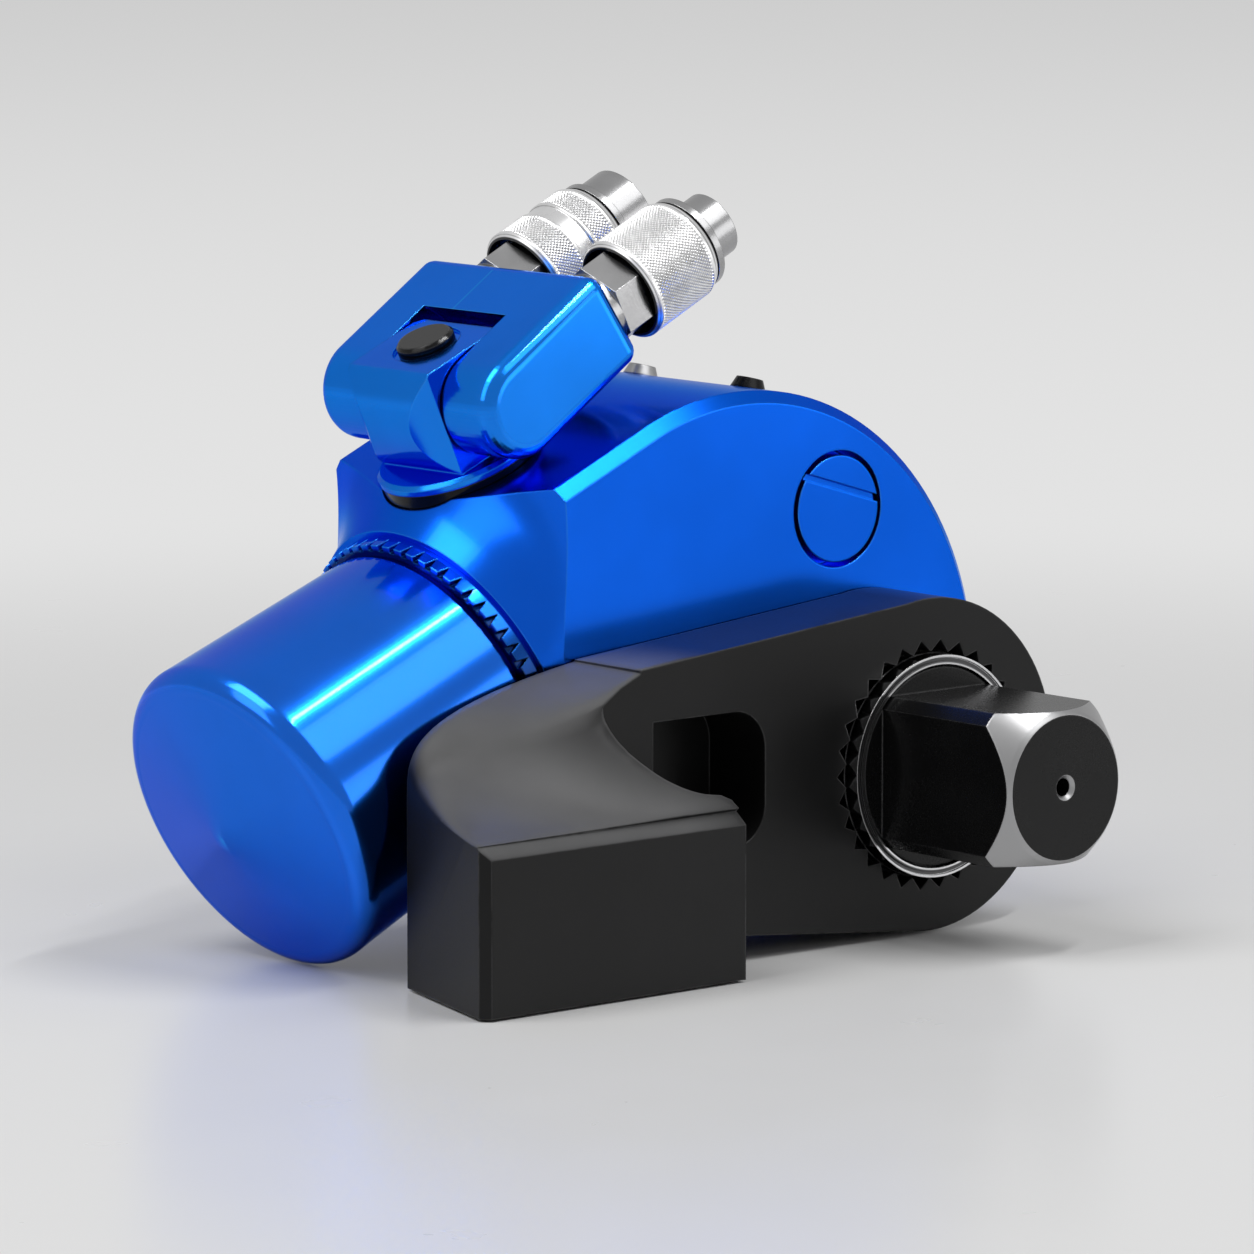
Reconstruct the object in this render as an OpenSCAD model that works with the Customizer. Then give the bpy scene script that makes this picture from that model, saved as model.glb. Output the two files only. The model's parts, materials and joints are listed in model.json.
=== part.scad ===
// Hydraulic torque wrench: square drive, splined reaction arm, inclined cylinder
// and two-axis hose swivel.
// Millimetres. The origin is on the drive axis at the face of the retaining ring. +X runs along the tool away
// from the cylinder, +Y from the square drive into the housing, +Z up. The cylinder's own frame (s, y, t) is
// this frame turned about the drive axis by the cylinder's incline: s runs along the cylinder, t across it.

/* [Square drive] */
// Width across the flats of the male square
square_af = 38.1; // [25.4:0.1:40]
// From the face of the retaining ring to the square's tip
drive_length = 45; // [30:0.5:60]
// Radius of the flat disc at the square's tip
tip_r = 18; // [10:0.1:19]
// Radius that the square's corners are turned down to
corner_r = 25; // [20:0.1:25.2]
// Radius of the centre hole in the tip
centre_hole_r = 2.2; // [1:0.1:4]
// Radius of the drive's journal in its front bush
journal_r = 22; // [21:0.1:22.4]
// Wall of the front bush
bush_wall = 2.5; // [1.5:0.1:3]

/* [Reaction splines] */
// Number of spline teeth
spline_teeth = 30; // [20:1:40]
// Radius at the bottom of the splines
spline_root_r = 28.4; // [27.8:0.1:29]
// Radius at the top of the splines
spline_tip_r = 31.4; // [30:0.1:33]
// Clearance between the arm's splines and the sleeve's
spline_gap = 0.15; // [0.05:0.05:0.4]
// Depth that the sleeve's teeth stand back from the arm's face
spline_recess = 4; // [0:0.5:8]
// Width of the retaining ring along the drive axis
ring_w = 4.5; // [3:0.5:6]

/* [Reaction arm] */
// From the ring's face back to the arm's face
arm_setback = 3.4; // [1:0.1:4]
// Thickness of the arm's plate
arm_t = 24.6; // [18:0.1:30]
// Radius of the arm's hub, which is also the housing's radius under the drive
hub_r = 42; // [38.5:0.5:46]
// From the drive axis to the back of the arm's far end
arm_reach = 149; // [135:1:160]
// Fall of the arm's top edge for each millimetre of its length
arm_taper = 0.095; // [0:0.005:0.12]
// Height of the foot's front face
foot_h = 41; // [30:1:50]
// From the drive axis to the inner corner of the foot's front face
foot_inner = 80; // [72:1:90]
// How far the foot's front face stands out past the ring's face
foot_out = 17; // [8:1:30]
// How far the foot's outer side leans out from back to front
foot_flare = 14; // [0:1:20]
// Chamfer on the foot's front edges
foot_chamfer = 3; // [1:0.5:5]
// Height of the pocket in the arm
pocket_h = 33.5; // [20:0.5:36]
// Web left behind the pocket
pocket_web = 4; // [2:0.5:8]
// From the drive axis to the pocket's round end
pocket_end = 55.5; // [50:0.5:65]
// Radius of the pocket's corners
pocket_r = 10; // [6:0.5:12]

/* [Housing] */
// Width across the housing's sides
housing_w = 88.5; // [84:0.5:100]
// Clearance between the arm and the housing's side
arm_gap = 0.5; // [0.3:0.1:1]
// Incline of the cylinder
incline = 24; // [15:1:30]
// From the cylinder's axis up to the housing's flat top
block_rise = 47.4; // [46:0.1:55]
// From the cylinder's axis down to the housing's underside
block_drop = 42.5; // [41:0.5:45]
// Radius of the round nose, tangent to the flat top
nose_r = 79.5; // [76:0.1:82]
// Centre of the nose along the cylinder
nose_s = -29; // [-32:1:-26]
// Plane that the front flare runs out to, along the cylinder
front_s = -57.5; // [-60:0.5:-55]
// Face that the cylinder's lock ring sits on
neck_s = -82; // [-83:0.5:-81]
// Radius of the concave flare between neck and housing
flare_r = 37; // [32:1:42]
// Chamfer along the housing's top and nose edges
edge_chamfer = 3; // [1:0.5:5]
// Width of the chamber for the lever and the ratchet
chamber_w = 45; // [45:0.5:50]

/* [Cylinder] */
// Radius of the piston's bore
bore_r = 30; // [26:0.5:31]
// Radius of the cap's spigot in the housing
spigot_r = 33.5; // [33:0.5:35]
// Greatest radius of the cap, at its round rim
cap_r = 41.5; // [40:0.5:42]
// Radius of the cap next to the lock ring
cap_neck_r = 39.2; // [38:0.1:40]
// Round of the cap's rim
rim_r = 5.5; // [3:0.5:8]
// Flat of the cap's rim along the cylinder
cap_end_s = -152.5; // [-160:0.5:-150]
// Height of the cap's coned end
cap_cone = 6.5; // [3:0.5:9]
// Width of the lock ring
lock_ring_w = 4.5; // [3:0.5:6]
// Notches round the lock ring
lock_notches = 60; // [40:1:72]
// Radius of the piston rod
rod_r = 14; // [10:0.5:15]
// Length of the piston
piston_len = 20; // [14:1:24]
// Clearance of every running fit, on the radius
run_gap = 0.05; // [0.02:0.01:0.1]

/* [Ratchet] */
// From the drive axis to the crank pin
lever_r = 62.2; // [60:0.1:64]
// Angle that the lever swings through
swing = 30; // [20:1:30]
// Radius of the crank pin
pin_r = 8; // [6:0.5:9]
// Teeth of the ratchet wheel
ratchet_teeth = 24; // [24:1:24]
// Radius over the ratchet's teeth
ratchet_r = 33; // [32:0.1:33.2]
// Depth of the ratchet's teeth
tooth_h = 3.4; // [3:0.1:3.6]
// Radius of the ratchet's hubs, which carry the lever
ratchet_hub_r = 26; // [24:0.5:28]
// Width of the ratchet's teeth
ratchet_w = 26; // [22:1:27]
// Radius over the corners of the drive's hexagon in the ratchet
hex_r = 20.4; // [18:0.1:20.8]

/* [Hose swivel] */
// Swivel axis along the cylinder
swivel_s = -55.2; // [-58:0.1:-54]
// Radius of the swivel's flange
flange_r = 20.6; // [19:0.1:22]
// From the housing's top up to the tilt axis
tilt_h = 18.3; // [18:0.1:26]
// From the swivel axis back to the tilt axis
tilt_back = 1.5; // [0:0.1:2]
// Lean of the manifold against the housing's top
manifold_lean = 10.4; // [4:0.1:20]
// Drop of the ports against the manifold's middle
port_drop = 8; // [0:0.5:9]
// Width of the manifold
manifold_w = 66; // [60:1:76]
// Thickness of the manifold
manifold_t = 26; // [24:0.5:28]
// From the tilt axis to the manifold's end face
manifold_len = 37; // [36:0.5:45]
// Width of the fork's slot
slot_w = 31.6; // [28:0.1:34]
// Radius of the hollow at the bottom of the fork's slot, about the tilt axis
slot_r = 22; // [21:0.5:22.5]
// Radius of the swivel block's barrel
barrel_r = 18.5; // [17:0.5:20]
// Radius that the swivel block's corners are turned to
block_turn_r = 19; // [18:0.5:20]
// Bevel round the swivel's flange
flange_bevel = 1; // [0.5:0.1:1.5]
// Distance between the two couplers
port_pitch = 37; // [32:0.5:42]
// How far the ports sit below the manifold's middle
port_low = 2; // [0:0.5:3]

/* [Couplers] */
// Radius of the knurled sleeves
sleeve_r = 13.5; // [12.5:0.1:15]
// Length of the near coupler's knurled sleeve
near_sleeve_len = 22.5; // [20:0.5:26]
// Length of the far coupler's knurled collar
far_sleeve_len = 25; // [20:0.5:28]
// Width across the flats of the hexagons
coupler_hex_af = 20; // [17:0.5:21]
// Radius of the female coupler's tip
female_tip_r = 8.6; // [7:0.1:9]
// Radius of the male coupler's tip
male_tip_r = 11; // [9:0.1:12]
// Depth of the smooth band round the far collar
collar_band = 0.5; // [0.2:0.1:1]
// Travel of the female sleeve when it is pulled back
sleeve_travel = 4; // [2:0.5:5]

/* [Hidden] */
$fn = 96;
eps = 0.01;
hair = 0.05;

// Housing, measured across the tool
near_y = arm_setback + arm_t + arm_gap;
far_y = near_y + housing_w;
mid_y = near_y + housing_w / 2;
chamber_near = mid_y - chamber_w / 2;
chamber_far = mid_y + chamber_w / 2;
floor_z = -hub_r;

// Housing's outline in the cylinder's frame
half_swing = swing / 2;
axis_t = lever_r * (1 + cos(half_swing)) / 2;
stroke = 2 * lever_r * sin(half_swing);
rest_pin_s = -lever_r * sin(half_swing);
rest_pin_t = lever_r * cos(half_swing);
top_t = axis_t + block_rise;
under_t = axis_t - block_drop;
nose_t = top_t - nose_r;
nose_dist = norm([nose_s, nose_t]);
nose_turn = atan2(nose_t, nose_s) - acos(max(-1, (hub_r - nose_r) / nose_dist));
under_turn = atan2(under_t, neck_s) + acos(hub_r / norm([neck_s, under_t]));
chamber_r = hub_r - 3.7;
neck_r = cap_neck_r + 1.5;

// Cylinder, along s
gland_s = -60;
shoulder_s = -46;
cap_bore_s = cap_end_s + 6.5;
piston_s = cap_bore_s + 2;
rod_end_len = 19;
lock_ring_r = cap_neck_r + 2.2;

// Drive train, along y
sleeve_spigot = 16;
collar_y0 = 0.5;
shoulder_y = ring_w - 0.2;
hub_gap = 0.2;
plate_t = 8.5;
plate_gap = 0.5;
drive_end_y = far_y - 2.5;
rear_journal_r = 17.5;
retainer_y = far_y + 0.3;
retainer_t = 4.2;
retainer_r = 23;
retainer_stem_r = 10;
button_r = 7;
button_out = 3;
pawl_w = ratchet_w - 2.6;
pawl_half = 6;
pawl_lead = 3;
pawl_rest_gap = 0.4;
pocket_gap = 0.2;
pawl_body = 3;
pawl_top = 10;
bridge_low = ratchet_r + 3;
bridge_high = ratchet_r + 13;

// Hose swivel
recess_depth = 4.3;
gland_ring_r = flange_r - 0.5;
recess_r = gland_ring_r + 0.4;
flange_t = 2.4;
flange_gap = 2;
stem_r = 9;
stem_depth = 6.5;
block_half = (slot_w - 1.2) / 2;
block_top = 14;
screw_r = 7.4;
screw_back = 2.5;
screw_shank_r = 4;
screw_head = 3;
screw_proud = 2.2;
tilt_pin_r = 6;
tilt_pin_in = 8;
tilt_pin_out = 12;
port_r = 8;
port_depth = 10;
spot_r = 11.2;
spot_depth = spot_r * sin(port_drop) + 0.3;
ear_r = manifold_t / 2;
round_r = 4;

// Bushes, plugs and the drive's retainer
bush_r = journal_r + bush_wall;
sleeve_seat_r = spline_root_r - 0.2;
plug = [1.4 - rest_pin_s, rest_pin_t + 0.8];
plug_r = pin_r + 5.4;
plug_t = 8;
top_plug_r = 4;
top_plug_depth = 10;
top_plug_side = 20.5;
top_plug_turn = 39;
retainer_stem_y = far_y - 16;

// Couplers, along their axis from the manifold's end face
washer_t = 1;
collar_end = 5;
hex_end = 13.5;
sleeve_at = 13.5;
body_r = 9.5;
recess_len = sleeve_travel + 1.2;
hex_corner_r = coupler_hex_af / sqrt(3);
sleeve_recess_r = hex_corner_r + 0.5;
sleeve_gap = 0.3;
female_tip = 9;
male_tip = 9.5;

blue = "royalblue";
black = [0.13, 0.13, 0.14];
steel = "silver";
dark_steel = [0.35, 0.36, 0.38];
rubber = [0.08, 0.08, 0.08];
bronze = [0.72, 0.55, 0.3];

// Direction in a plane
function dir(a) = [cos(a), sin(a)];

// Star of spline teeth, alternately at the tip and at the root
function spline_star(gap) = [
  for (k = [0 : 2 * spline_teeth - 1])
    ((k % 2 == 0 ? spline_tip_r : spline_root_r) + gap) * dir(k * 180 / spline_teeth)
];

// Frame of the cylinder: s along X, t along Z
module in_cylinder_frame() {
  rotate([0, -incline, 0]) children();
}

// Frame of the lever at rest, with the crank pin straight above the drive axis
module in_lever_frame() {
  in_cylinder_frame() rotate([0, -half_swing, 0]) children();
}

// Prism of an outline drawn in X and Z
module across(y0, y1) {
  translate([0, y1, 0]) rotate([90, 0, 0]) linear_extrude(y1 - y0) children();
}

// Round bar about the drive axis, or about a parallel one at p
module drive_bar(y0, y1, r, p = [0, 0]) {
  translate([p[0], y0, p[1]]) rotate([-90, 0, 0]) cylinder(r = r, h = y1 - y0);
}

// Tube about the drive axis
module drive_tube(y0, y1, r_out, r_in) {
  difference() {
    drive_bar(y0, y1, r_out);
    drive_bar(y0 - 1, y1 + 1, r_in);
  }
}

// Solid of revolution about the cylinder's axis from a profile drawn in radius and s
module cylinder_turned() {
  translate([0, mid_y, axis_t]) rotate([0, 90, 0]) rotate_extrude() children();
}

// Round bar about the cylinder's axis
module cylinder_bar(s0, s1, r) {
  translate([s0, mid_y, axis_t]) rotate([0, 90, 0]) cylinder(r = r, h = s1 - s0);
}

// Tube about the cylinder's axis
module cylinder_tube(s0, s1, r_out, r_in) {
  difference() {
    cylinder_bar(s0, s1, r_out);
    cylinder_bar(s0 - 1, s1 + 1, r_in);
  }
}

// Coil spring standing on the XY plane: a six-sided wire swept along a helix
module coil(r, wire_r, turns, h) {
  steps = turns * 12;
  rise = h - 2 * wire_r;
  rings = [
    for (i = [0 : steps])
      for (k = [0 : 5])
        [
          (r + wire_r * cos(60 * k)) * cos(30 * i),
          (r + wire_r * cos(60 * k)) * sin(30 * i),
          wire_r + rise * i / steps + wire_r * sin(60 * k)
        ]
  ];
  walls = [
    for (i = [0 : steps - 1])
      for (k = [0 : 5])
        [6 * i + k, 6 * (i + 1) + k, 6 * (i + 1) + (k + 1) % 6, 6 * i + (k + 1) % 6]
  ];
  first = [for (k = [0 : 5]) k];
  last = [for (k = [5 : -1 : 0]) 6 * steps + k];
  polyhedron(rings, concat(walls, [first, last]));
}

// Housing's bare block: flat top, round nose and round under the drive. The straight sides stand a hair inside
// the rounds, so that the surfaces cross.
module housing_block() {
  nose = [nose_s, nose_t];
  intersection() {
    across(near_y, far_y) polygon([
      [neck_s, under_t],
      [neck_s, top_t],
      [nose_s, top_t],
      nose + (nose_r - hair) * dir(nose_turn),
      (hub_r - hair) * dir(nose_turn),
      (hub_r - hair) * dir(under_turn)
    ]);
    translate([neck_s - 1, 0, 0]) rotate([90, 0, 90]) linear_extrude(4 * hub_r) bevelled_section();
  }
  drive_bar(near_y, far_y, hub_r);
  intersection() {
    nose_barrel();
    across(near_y - 1, far_y + 1) nose_wedge(6);
  }
}

// Section of the block across the tool, with its two top edges bevelled
module bevelled_section() {
  top = top_t - hair;
  polygon([
    [near_y - 1, -2 * hub_r],
    [near_y - 1, top - edge_chamfer - 1],
    [near_y + edge_chamfer, top],
    [far_y - edge_chamfer, top],
    [far_y + 1, top - edge_chamfer - 1],
    [far_y + 1, -2 * hub_r]
  ]);
}

// Round of the nose as a full barrel with both edges bevelled
module nose_barrel() {
  translate([nose_s, near_y, nose_t]) rotate([-90, 0, 0]) rotate_extrude() polygon([
    [0, 0],
    [nose_r - edge_chamfer, 0],
    [nose_r, edge_chamfer],
    [nose_r, housing_w - edge_chamfer],
    [nose_r - edge_chamfer, housing_w],
    [0, housing_w]
  ]);
}

// Fan from the nose's centre over its round, reaching past both ends by an angle
module nose_wedge(past) {
  nose = [nose_s, nose_t];
  reach = 2 * nose_r;
  span = 90 - nose_turn + 2 * past;
  polygon(concat([nose], [for (k = [0 : 4]) nose + reach * dir(90 + past - span * k / 4)]));
}

// Concave flare turned on the housing's front, as a profile in radius and s
module flare_profile() {
  reach = 3 * nose_r;
  difference() {
    translate([0, neck_s]) square([reach, reach]);
    translate([neck_r + flare_r, front_s - flare_r]) circle(r = flare_r);
    translate([neck_r + flare_r, front_s - reach]) square([reach, reach]);
  }
}

// Side view of the space that the lever and the rod sweep
module chamber_outline() {
  circle(r = chamber_r);
  polygon([
    [-chamber_r, 0],
    [-33, axis_t + 8],
    [-20, axis_t + 16],
    [20, axis_t + 16],
    [32, axis_t + 7],
    [chamber_r, 0]
  ]);
}

module housing() {
  color(blue) in_cylinder_frame() difference() {
    intersection() {
      housing_block();
      cylinder_turned() flare_profile();
    }
    across(chamber_near, chamber_far) chamber_outline();
    cylinder_bar(neck_s - 1, shoulder_s, spigot_r + run_gap);
    cylinder_bar(shoulder_s - 1, 0, rod_r + 3);
    drive_bar(near_y - 1, near_y + sleeve_spigot, sleeve_seat_r + run_gap);
    drive_bar(near_y, chamber_near + 1, journal_r + 1);
    drive_bar(chamber_far - 1, far_y + 1, bush_r + run_gap);
    drive_bar(near_y - 1, near_y + plug_t, plug_r + 1.4, plug);
    drive_bar(near_y, chamber_near + 1, pin_r + 2, plug);
    translate([swivel_s, mid_y, top_t - recess_depth]) cylinder(r = recess_r, h = recess_depth + 1);
    translate([swivel_s, mid_y, top_t - recess_depth - stem_depth])
      cylinder(r = stem_r + run_gap, h = stem_depth + 1);
    holding_pocket();
    at_top_plugs() translate([0, 0, -top_plug_depth])
      cylinder(r = top_plug_r + run_gap, h = top_plug_depth + 2);
  }
}

// Sizes shared by the housing's bores and what sits in them
// Places of the two plugs on the nose, square to its surface
module at_top_plugs() {
  for (side = [-1, 1])
    translate([nose_s, mid_y + side * top_plug_side, nose_t]) rotate([0, top_plug_turn, 0])
      translate([0, 0, nose_r]) children();
}

// Pocket in the housing for the holding pawl
module holding_pocket() {
  translate([-ratchet_r - 19, mid_y - pawl_w / 2 - pocket_gap, -pawl_half - pocket_gap])
    cube([19, pawl_w + 2 * pocket_gap, 2 * (pawl_half + pocket_gap)]);
}

module cap_profile() {
  rim_s = cap_end_s + rim_r;
  lock_s = neck_s - lock_ring_w;
  difference() {
    union() {
      polygon([
        [0, cap_end_s - cap_cone],
        [cap_r - rim_r, cap_end_s],
        [cap_r - rim_r, rim_s],
        [cap_r, rim_s],
        [cap_neck_r, lock_s - 2],
        [cap_neck_r - 1, lock_s],
        [spigot_r, lock_s],
        [spigot_r, gland_s],
        [0, gland_s]
      ]);
      translate([cap_r - rim_r, rim_s]) circle(r = rim_r);
    }
    translate([0, cap_bore_s]) square([bore_r, gland_s - cap_bore_s + 1]);
    translate([-cap_r, cap_end_s - 2 * cap_cone]) square([cap_r, 3 * cap_r - cap_end_s]);
    translate([spigot_r - 1.6, gland_s - 8]) square([4, 4]);
  }
}

module cylinder_cap() {
  color(blue) in_cylinder_frame() cylinder_turned() cap_profile();
}

module cap_lock_ring() {
  notch_w = 2.2;
  notch_h = 0.75 * lock_ring_w;
  depth = 1.6;
  color(blue) in_cylinder_frame() translate([neck_s - lock_ring_w, mid_y, axis_t]) rotate([0, 90, 0])
    difference() {
      cylinder(r = lock_ring_r, h = lock_ring_w);
      translate([0, 0, -1]) cylinder(r = spigot_r + run_gap, h = lock_ring_w + 2);
      for (k = [0 : lock_notches - 1])
        rotate([0, 0, k * 360 / lock_notches]) translate([lock_ring_r - depth, 0, 0]) rotate([0, 90, 0])
          linear_extrude(2 * depth) polygon([[0.5, -notch_w / 2], [0.5, notch_w / 2], [-notch_h, 0]]);
    }
}

module cap_seal() {
  color(rubber) in_cylinder_frame()
    cylinder_tube(gland_s - 7.9, gland_s - 4.1, spigot_r, spigot_r - 1.55);
}

module rod_gland() {
  color(bronze) in_cylinder_frame() difference() {
    cylinder_tube(gland_s, shoulder_s, spigot_r, rod_r + run_gap);
    cylinder_bar(gland_s + 4, gland_s + 8, rod_r + 3);
  }
}

module rod_seal() {
  color(rubber) in_cylinder_frame()
    cylinder_tube(gland_s + 4.1, gland_s + 7.9, rod_r + 2.95, rod_r + run_gap);
}

module reaction_sleeve() {
  teeth_y = arm_setback + spline_recess;
  color(dark_steel) difference() {
    union() {
      across(teeth_y, near_y) polygon(spline_star(0));
      drive_bar(ring_w, near_y + sleeve_spigot, sleeve_seat_r);
    }
    drive_bar(0, near_y + sleeve_spigot + 1, bush_r + run_gap);
  }
}

module retaining_ring() {
  ring_in = corner_r + 0.6;
  ring_out = spline_root_r - 0.4;
  color(steel) difference() {
    drive_tube(0, ring_w, ring_out, ring_in);
    drive_tube(-1, 0.6, ring_out - 0.6, ring_in + 0.9);
  }
}

module front_bush() {
  color(bronze) drive_tube(ring_w, near_y + sleeve_spigot, bush_r, journal_r + run_gap);
}

module rear_bush() {
  color(bronze) drive_tube(chamber_far + 2, far_y - 1.5, bush_r, rear_journal_r + run_gap);
}

module crank_pin_plug() {
  slot_w2 = 1.7;
  slot_up = 4.6;
  color(blue) in_cylinder_frame() difference() {
    drive_bar(near_y - 0.2, near_y + plug_t, plug_r, plug);
    translate([plug[0], near_y - 1, plug[1]]) rotate([0, incline + 16.6, 0])
      translate([-plug_r - 1, 0, slot_up]) cube([2 * plug_r + 2, 2.2, slot_w2]);
  }
}

module top_plugs() {
  head_r = 4.6;
  head_h = 2.8;
  color(black) in_cylinder_frame() at_top_plugs() {
    translate([0, 0, 1 - top_plug_depth]) cylinder(r = top_plug_r, h = top_plug_depth - 1 + head_h / 2);
    difference() {
      cylinder(r1 = head_r, r2 = head_r - 1.2, h = head_h);
      translate([0, 0, 1.2]) cylinder(r = 2.3, h = head_h, $fn = 6);
    }
  }
}

// Pawl with its tooth pointing down to the drive axis, drawn in x and z, riding just clear of the teeth
module pawl_outline() {
  tip = ratchet_r + pawl_rest_gap;
  lead = (ratchet_r - tooth_h) * sin(pawl_lead);
  polygon([
    [lead, tip],
    [lead + 1.5, tip + pawl_body],
    [pawl_half, tip + pawl_body],
    [pawl_half, ratchet_r + pawl_top],
    [-pawl_half, ratchet_r + pawl_top],
    [-pawl_half, tip + pawl_body],
    [lead - 5.3, tip + pawl_body]
  ]);
}

module pawl() {
  difference() {
    across(mid_y - pawl_w / 2, mid_y + pawl_w / 2) pawl_outline();
    at_pawl_springs() cylinder(r = 2.6, h = 20);
  }
}

// Floors of the two spring holes in a pawl
module at_pawl_springs() {
  for (side = [-1, 1])
    translate([0, mid_y + side * 6.5, ratchet_r + 5]) children();
}

// The holding pawl is the drive pawl's shape turned to point along the cylinder
module at_holding_pawl() {
  in_cylinder_frame() rotate([0, -90, 0]) children();
}

module holding_pawl() {
  color(dark_steel) at_holding_pawl() pawl();
}

module holding_pawl_springs() {
  color(steel) at_holding_pawl() at_pawl_springs() translate([0, 0, 0.1]) coil(1.9, 0.35, 7, 13.8);
}

// Arm's plate in side view: the hub and the bar that tapers towards the foot
module arm_plate_outline() {
  left = foot_inner + 16;
  circle(r = hub_r);
  polygon([
    [0, hub_r],
    [-left, hub_r - arm_taper * left],
    [-left, arm_taper * left - hub_r],
    [0, -hub_r]
  ]);
}

// Height of the arm's back over the foot, from u = 0 at its far end and v = 0 at its back face
function back_rise(u) = pow(u, 0.28);
function ridge_v(u) = min(0.1 + 0.65 * u, 0.56);
function ridge_share(u) = u < 0.8 ? 0.7 + 0.3 * pow(u / 0.8, 3) : 1;
function back_share(u, v) =
  v < ridge_v(u)
    ? 1 - (1 - ridge_share(u)) * pow(v / ridge_v(u), 1.5)
    : ridge_share(u) * pow((1 - v) / (1 - ridge_v(u)), 1.7);

// Triangles from one corner to a run of points
function fan(corner, run) = [for (k = [0 : len(run) - 2]) [corner, run[k], run[k + 1]]];

// Foot of the arm, which sweeps down from the plate's back to the foot's front face
module foot() {
  cols = 22;
  rows = 24;
  depth = arm_setback + arm_t + foot_out;
  back_right = foot_inner + 8;
  step_z = floor_z + foot_h;
  low_z = step_z + 4;
  high_z = hub_r - arm_taper * back_right;
  us = [for (i = [0 : cols]) pow(i / cols, 2)];
  vs = [for (j = [0 : rows]) j / rows];
  function left_x(v) = -arm_reach - foot_flare * v;
  function right_x(v) = -back_right + (back_right - foot_inner) * v;
  function crest_z(u) = low_z + (high_z - low_z) * back_rise(u);
  function top_point(u, v) = [
    left_x(v) + (right_x(v) - left_x(v)) * u,
    arm_setback + arm_t - depth * v,
    step_z + (crest_z(u) - step_z) * back_share(u, v)
  ];
  function floor_point(u, v) = [top_point(u, v)[0], top_point(u, v)[1], floor_z];
  tops = [for (u = us) for (v = vs) top_point(u, v)];
  base = len(tops);
  floors = [floor_point(0, 0), floor_point(0, 1), floor_point(1, 1), floor_point(1, 0)];
  function id(i, j) = i * (rows + 1) + j;
  skin = [
    for (i = [0 : cols - 1])
      for (j = [0 : rows - 1])
        each [[id(i, j), id(i + 1, j), id(i + 1, j + 1)], [id(i, j), id(i + 1, j + 1), id(i, j + 1)]]
  ];
  left = fan(base, concat([for (j = [0 : rows]) id(0, j)], [base + 1]));
  front = fan(base + 1, concat([for (i = [0 : cols]) id(i, rows)], [base + 2]));
  right = fan(base + 2, concat([for (j = [rows : -1 : 0]) id(cols, j)], [base + 3]));
  back = fan(base + 3, concat([for (i = [cols : -1 : 0]) id(i, 0)], [base]));
  under = fan(base, [base + 1, base + 2, base + 3]);
  polyhedron(concat(tops, floors), concat(skin, left, front, right, back, under));
}

// Room milled out above the foot, in front of the plate's face, with its wall leaning out towards the front
module foot_relief() {
  lean = 30;
  reach = 2 * hub_r;
  pivot_x = -foot_inner - 12.4;
  intersection() {
    translate([pivot_x, arm_setback, 0]) rotate([0, 0, lean])
      across(-reach, reach) relief_outline(cos(lean));
    translate([-3 * reach, arm_setback - 2 * reach, -reach]) cube([6 * reach, 2 * reach, 3 * reach]);
  }
}

// Edge of that room on the plate's face, measured from the foot's inner corner and narrowed by its lean
module relief_outline(narrow) {
  step_z = floor_z + foot_h;
  corner = [1.4 * narrow, hub_r - arm_taper * foot_inner - 15.5];
  corner_radius = 16;
  reach = 2 * hub_r;
  translate(corner) circle(r = corner_radius);
  polygon([
    [6.4 * narrow, step_z - 0.2],
    [0, step_z + 4.2],
    [-10.1 * narrow, step_z + 14.6],
    corner - [corner_radius, 0],
    corner,
    corner + [0, corner_radius],
    [reach, reach],
    [reach, step_z - 0.2]
  ]);
}

// Pocket in the arm's front, with round corners
module pocket_outline() {
  left = foot_inner + 12;
  high = pocket_h / 2 + 3;
  low = high - pocket_h;
  translate([-left, low]) square([left - pocket_end - pocket_r, pocket_h]);
  translate([-pocket_end - 2 * pocket_r, low + pocket_r]) square([2 * pocket_r, pocket_h - 2 * pocket_r]);
  for (z = [low + pocket_r, high - pocket_r])
    translate([-pocket_end - pocket_r, z]) circle(r = pocket_r);
}

module reaction_arm() {
  side = foot_chamfer * sqrt(2);
  color(black) difference() {
    union() {
      across(arm_setback, arm_setback + arm_t) arm_plate_outline();
      difference() {
        foot();
        foot_relief();
      }
    }
    across(arm_setback - 1, arm_setback + arm_t + 1) polygon(spline_star(spline_gap));
    across(arm_setback - 1, arm_setback + arm_t - pocket_web) pocket_outline();
    translate([-arm_reach - 2 * foot_flare, -foot_out, floor_z + foot_h]) rotate([45, 0, 0])
      translate([0, -side / 2, -side / 2]) cube([arm_reach, side, side]);
    translate([-arm_reach - foot_flare, -foot_out, floor_z - 1]) rotate([0, 0, 40])
      translate([-side / 2, -side / 2, 0]) cube([side, side, foot_h + hub_r]);
  }
}

// One cheek of the lever in its own frame
module lever_plate(y0) {
  difference() {
    across(y0, y0 + plate_t) {
      circle(r = ratchet_r + 1);
      translate([0, lever_r]) circle(r = pin_r + 5);
      polygon([
        [-ratchet_r - 1, 0],
        [-pin_r - 5, lever_r],
        [pin_r + 5, lever_r],
        [ratchet_r + 1, 0]
      ]);
    }
    drive_bar(y0 - 1, y0 + plate_t + 1, ratchet_hub_r + run_gap);
    drive_bar(y0 - 1, y0 + plate_t + 1, pin_r + run_gap, [0, lever_r]);
  }
}

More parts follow.
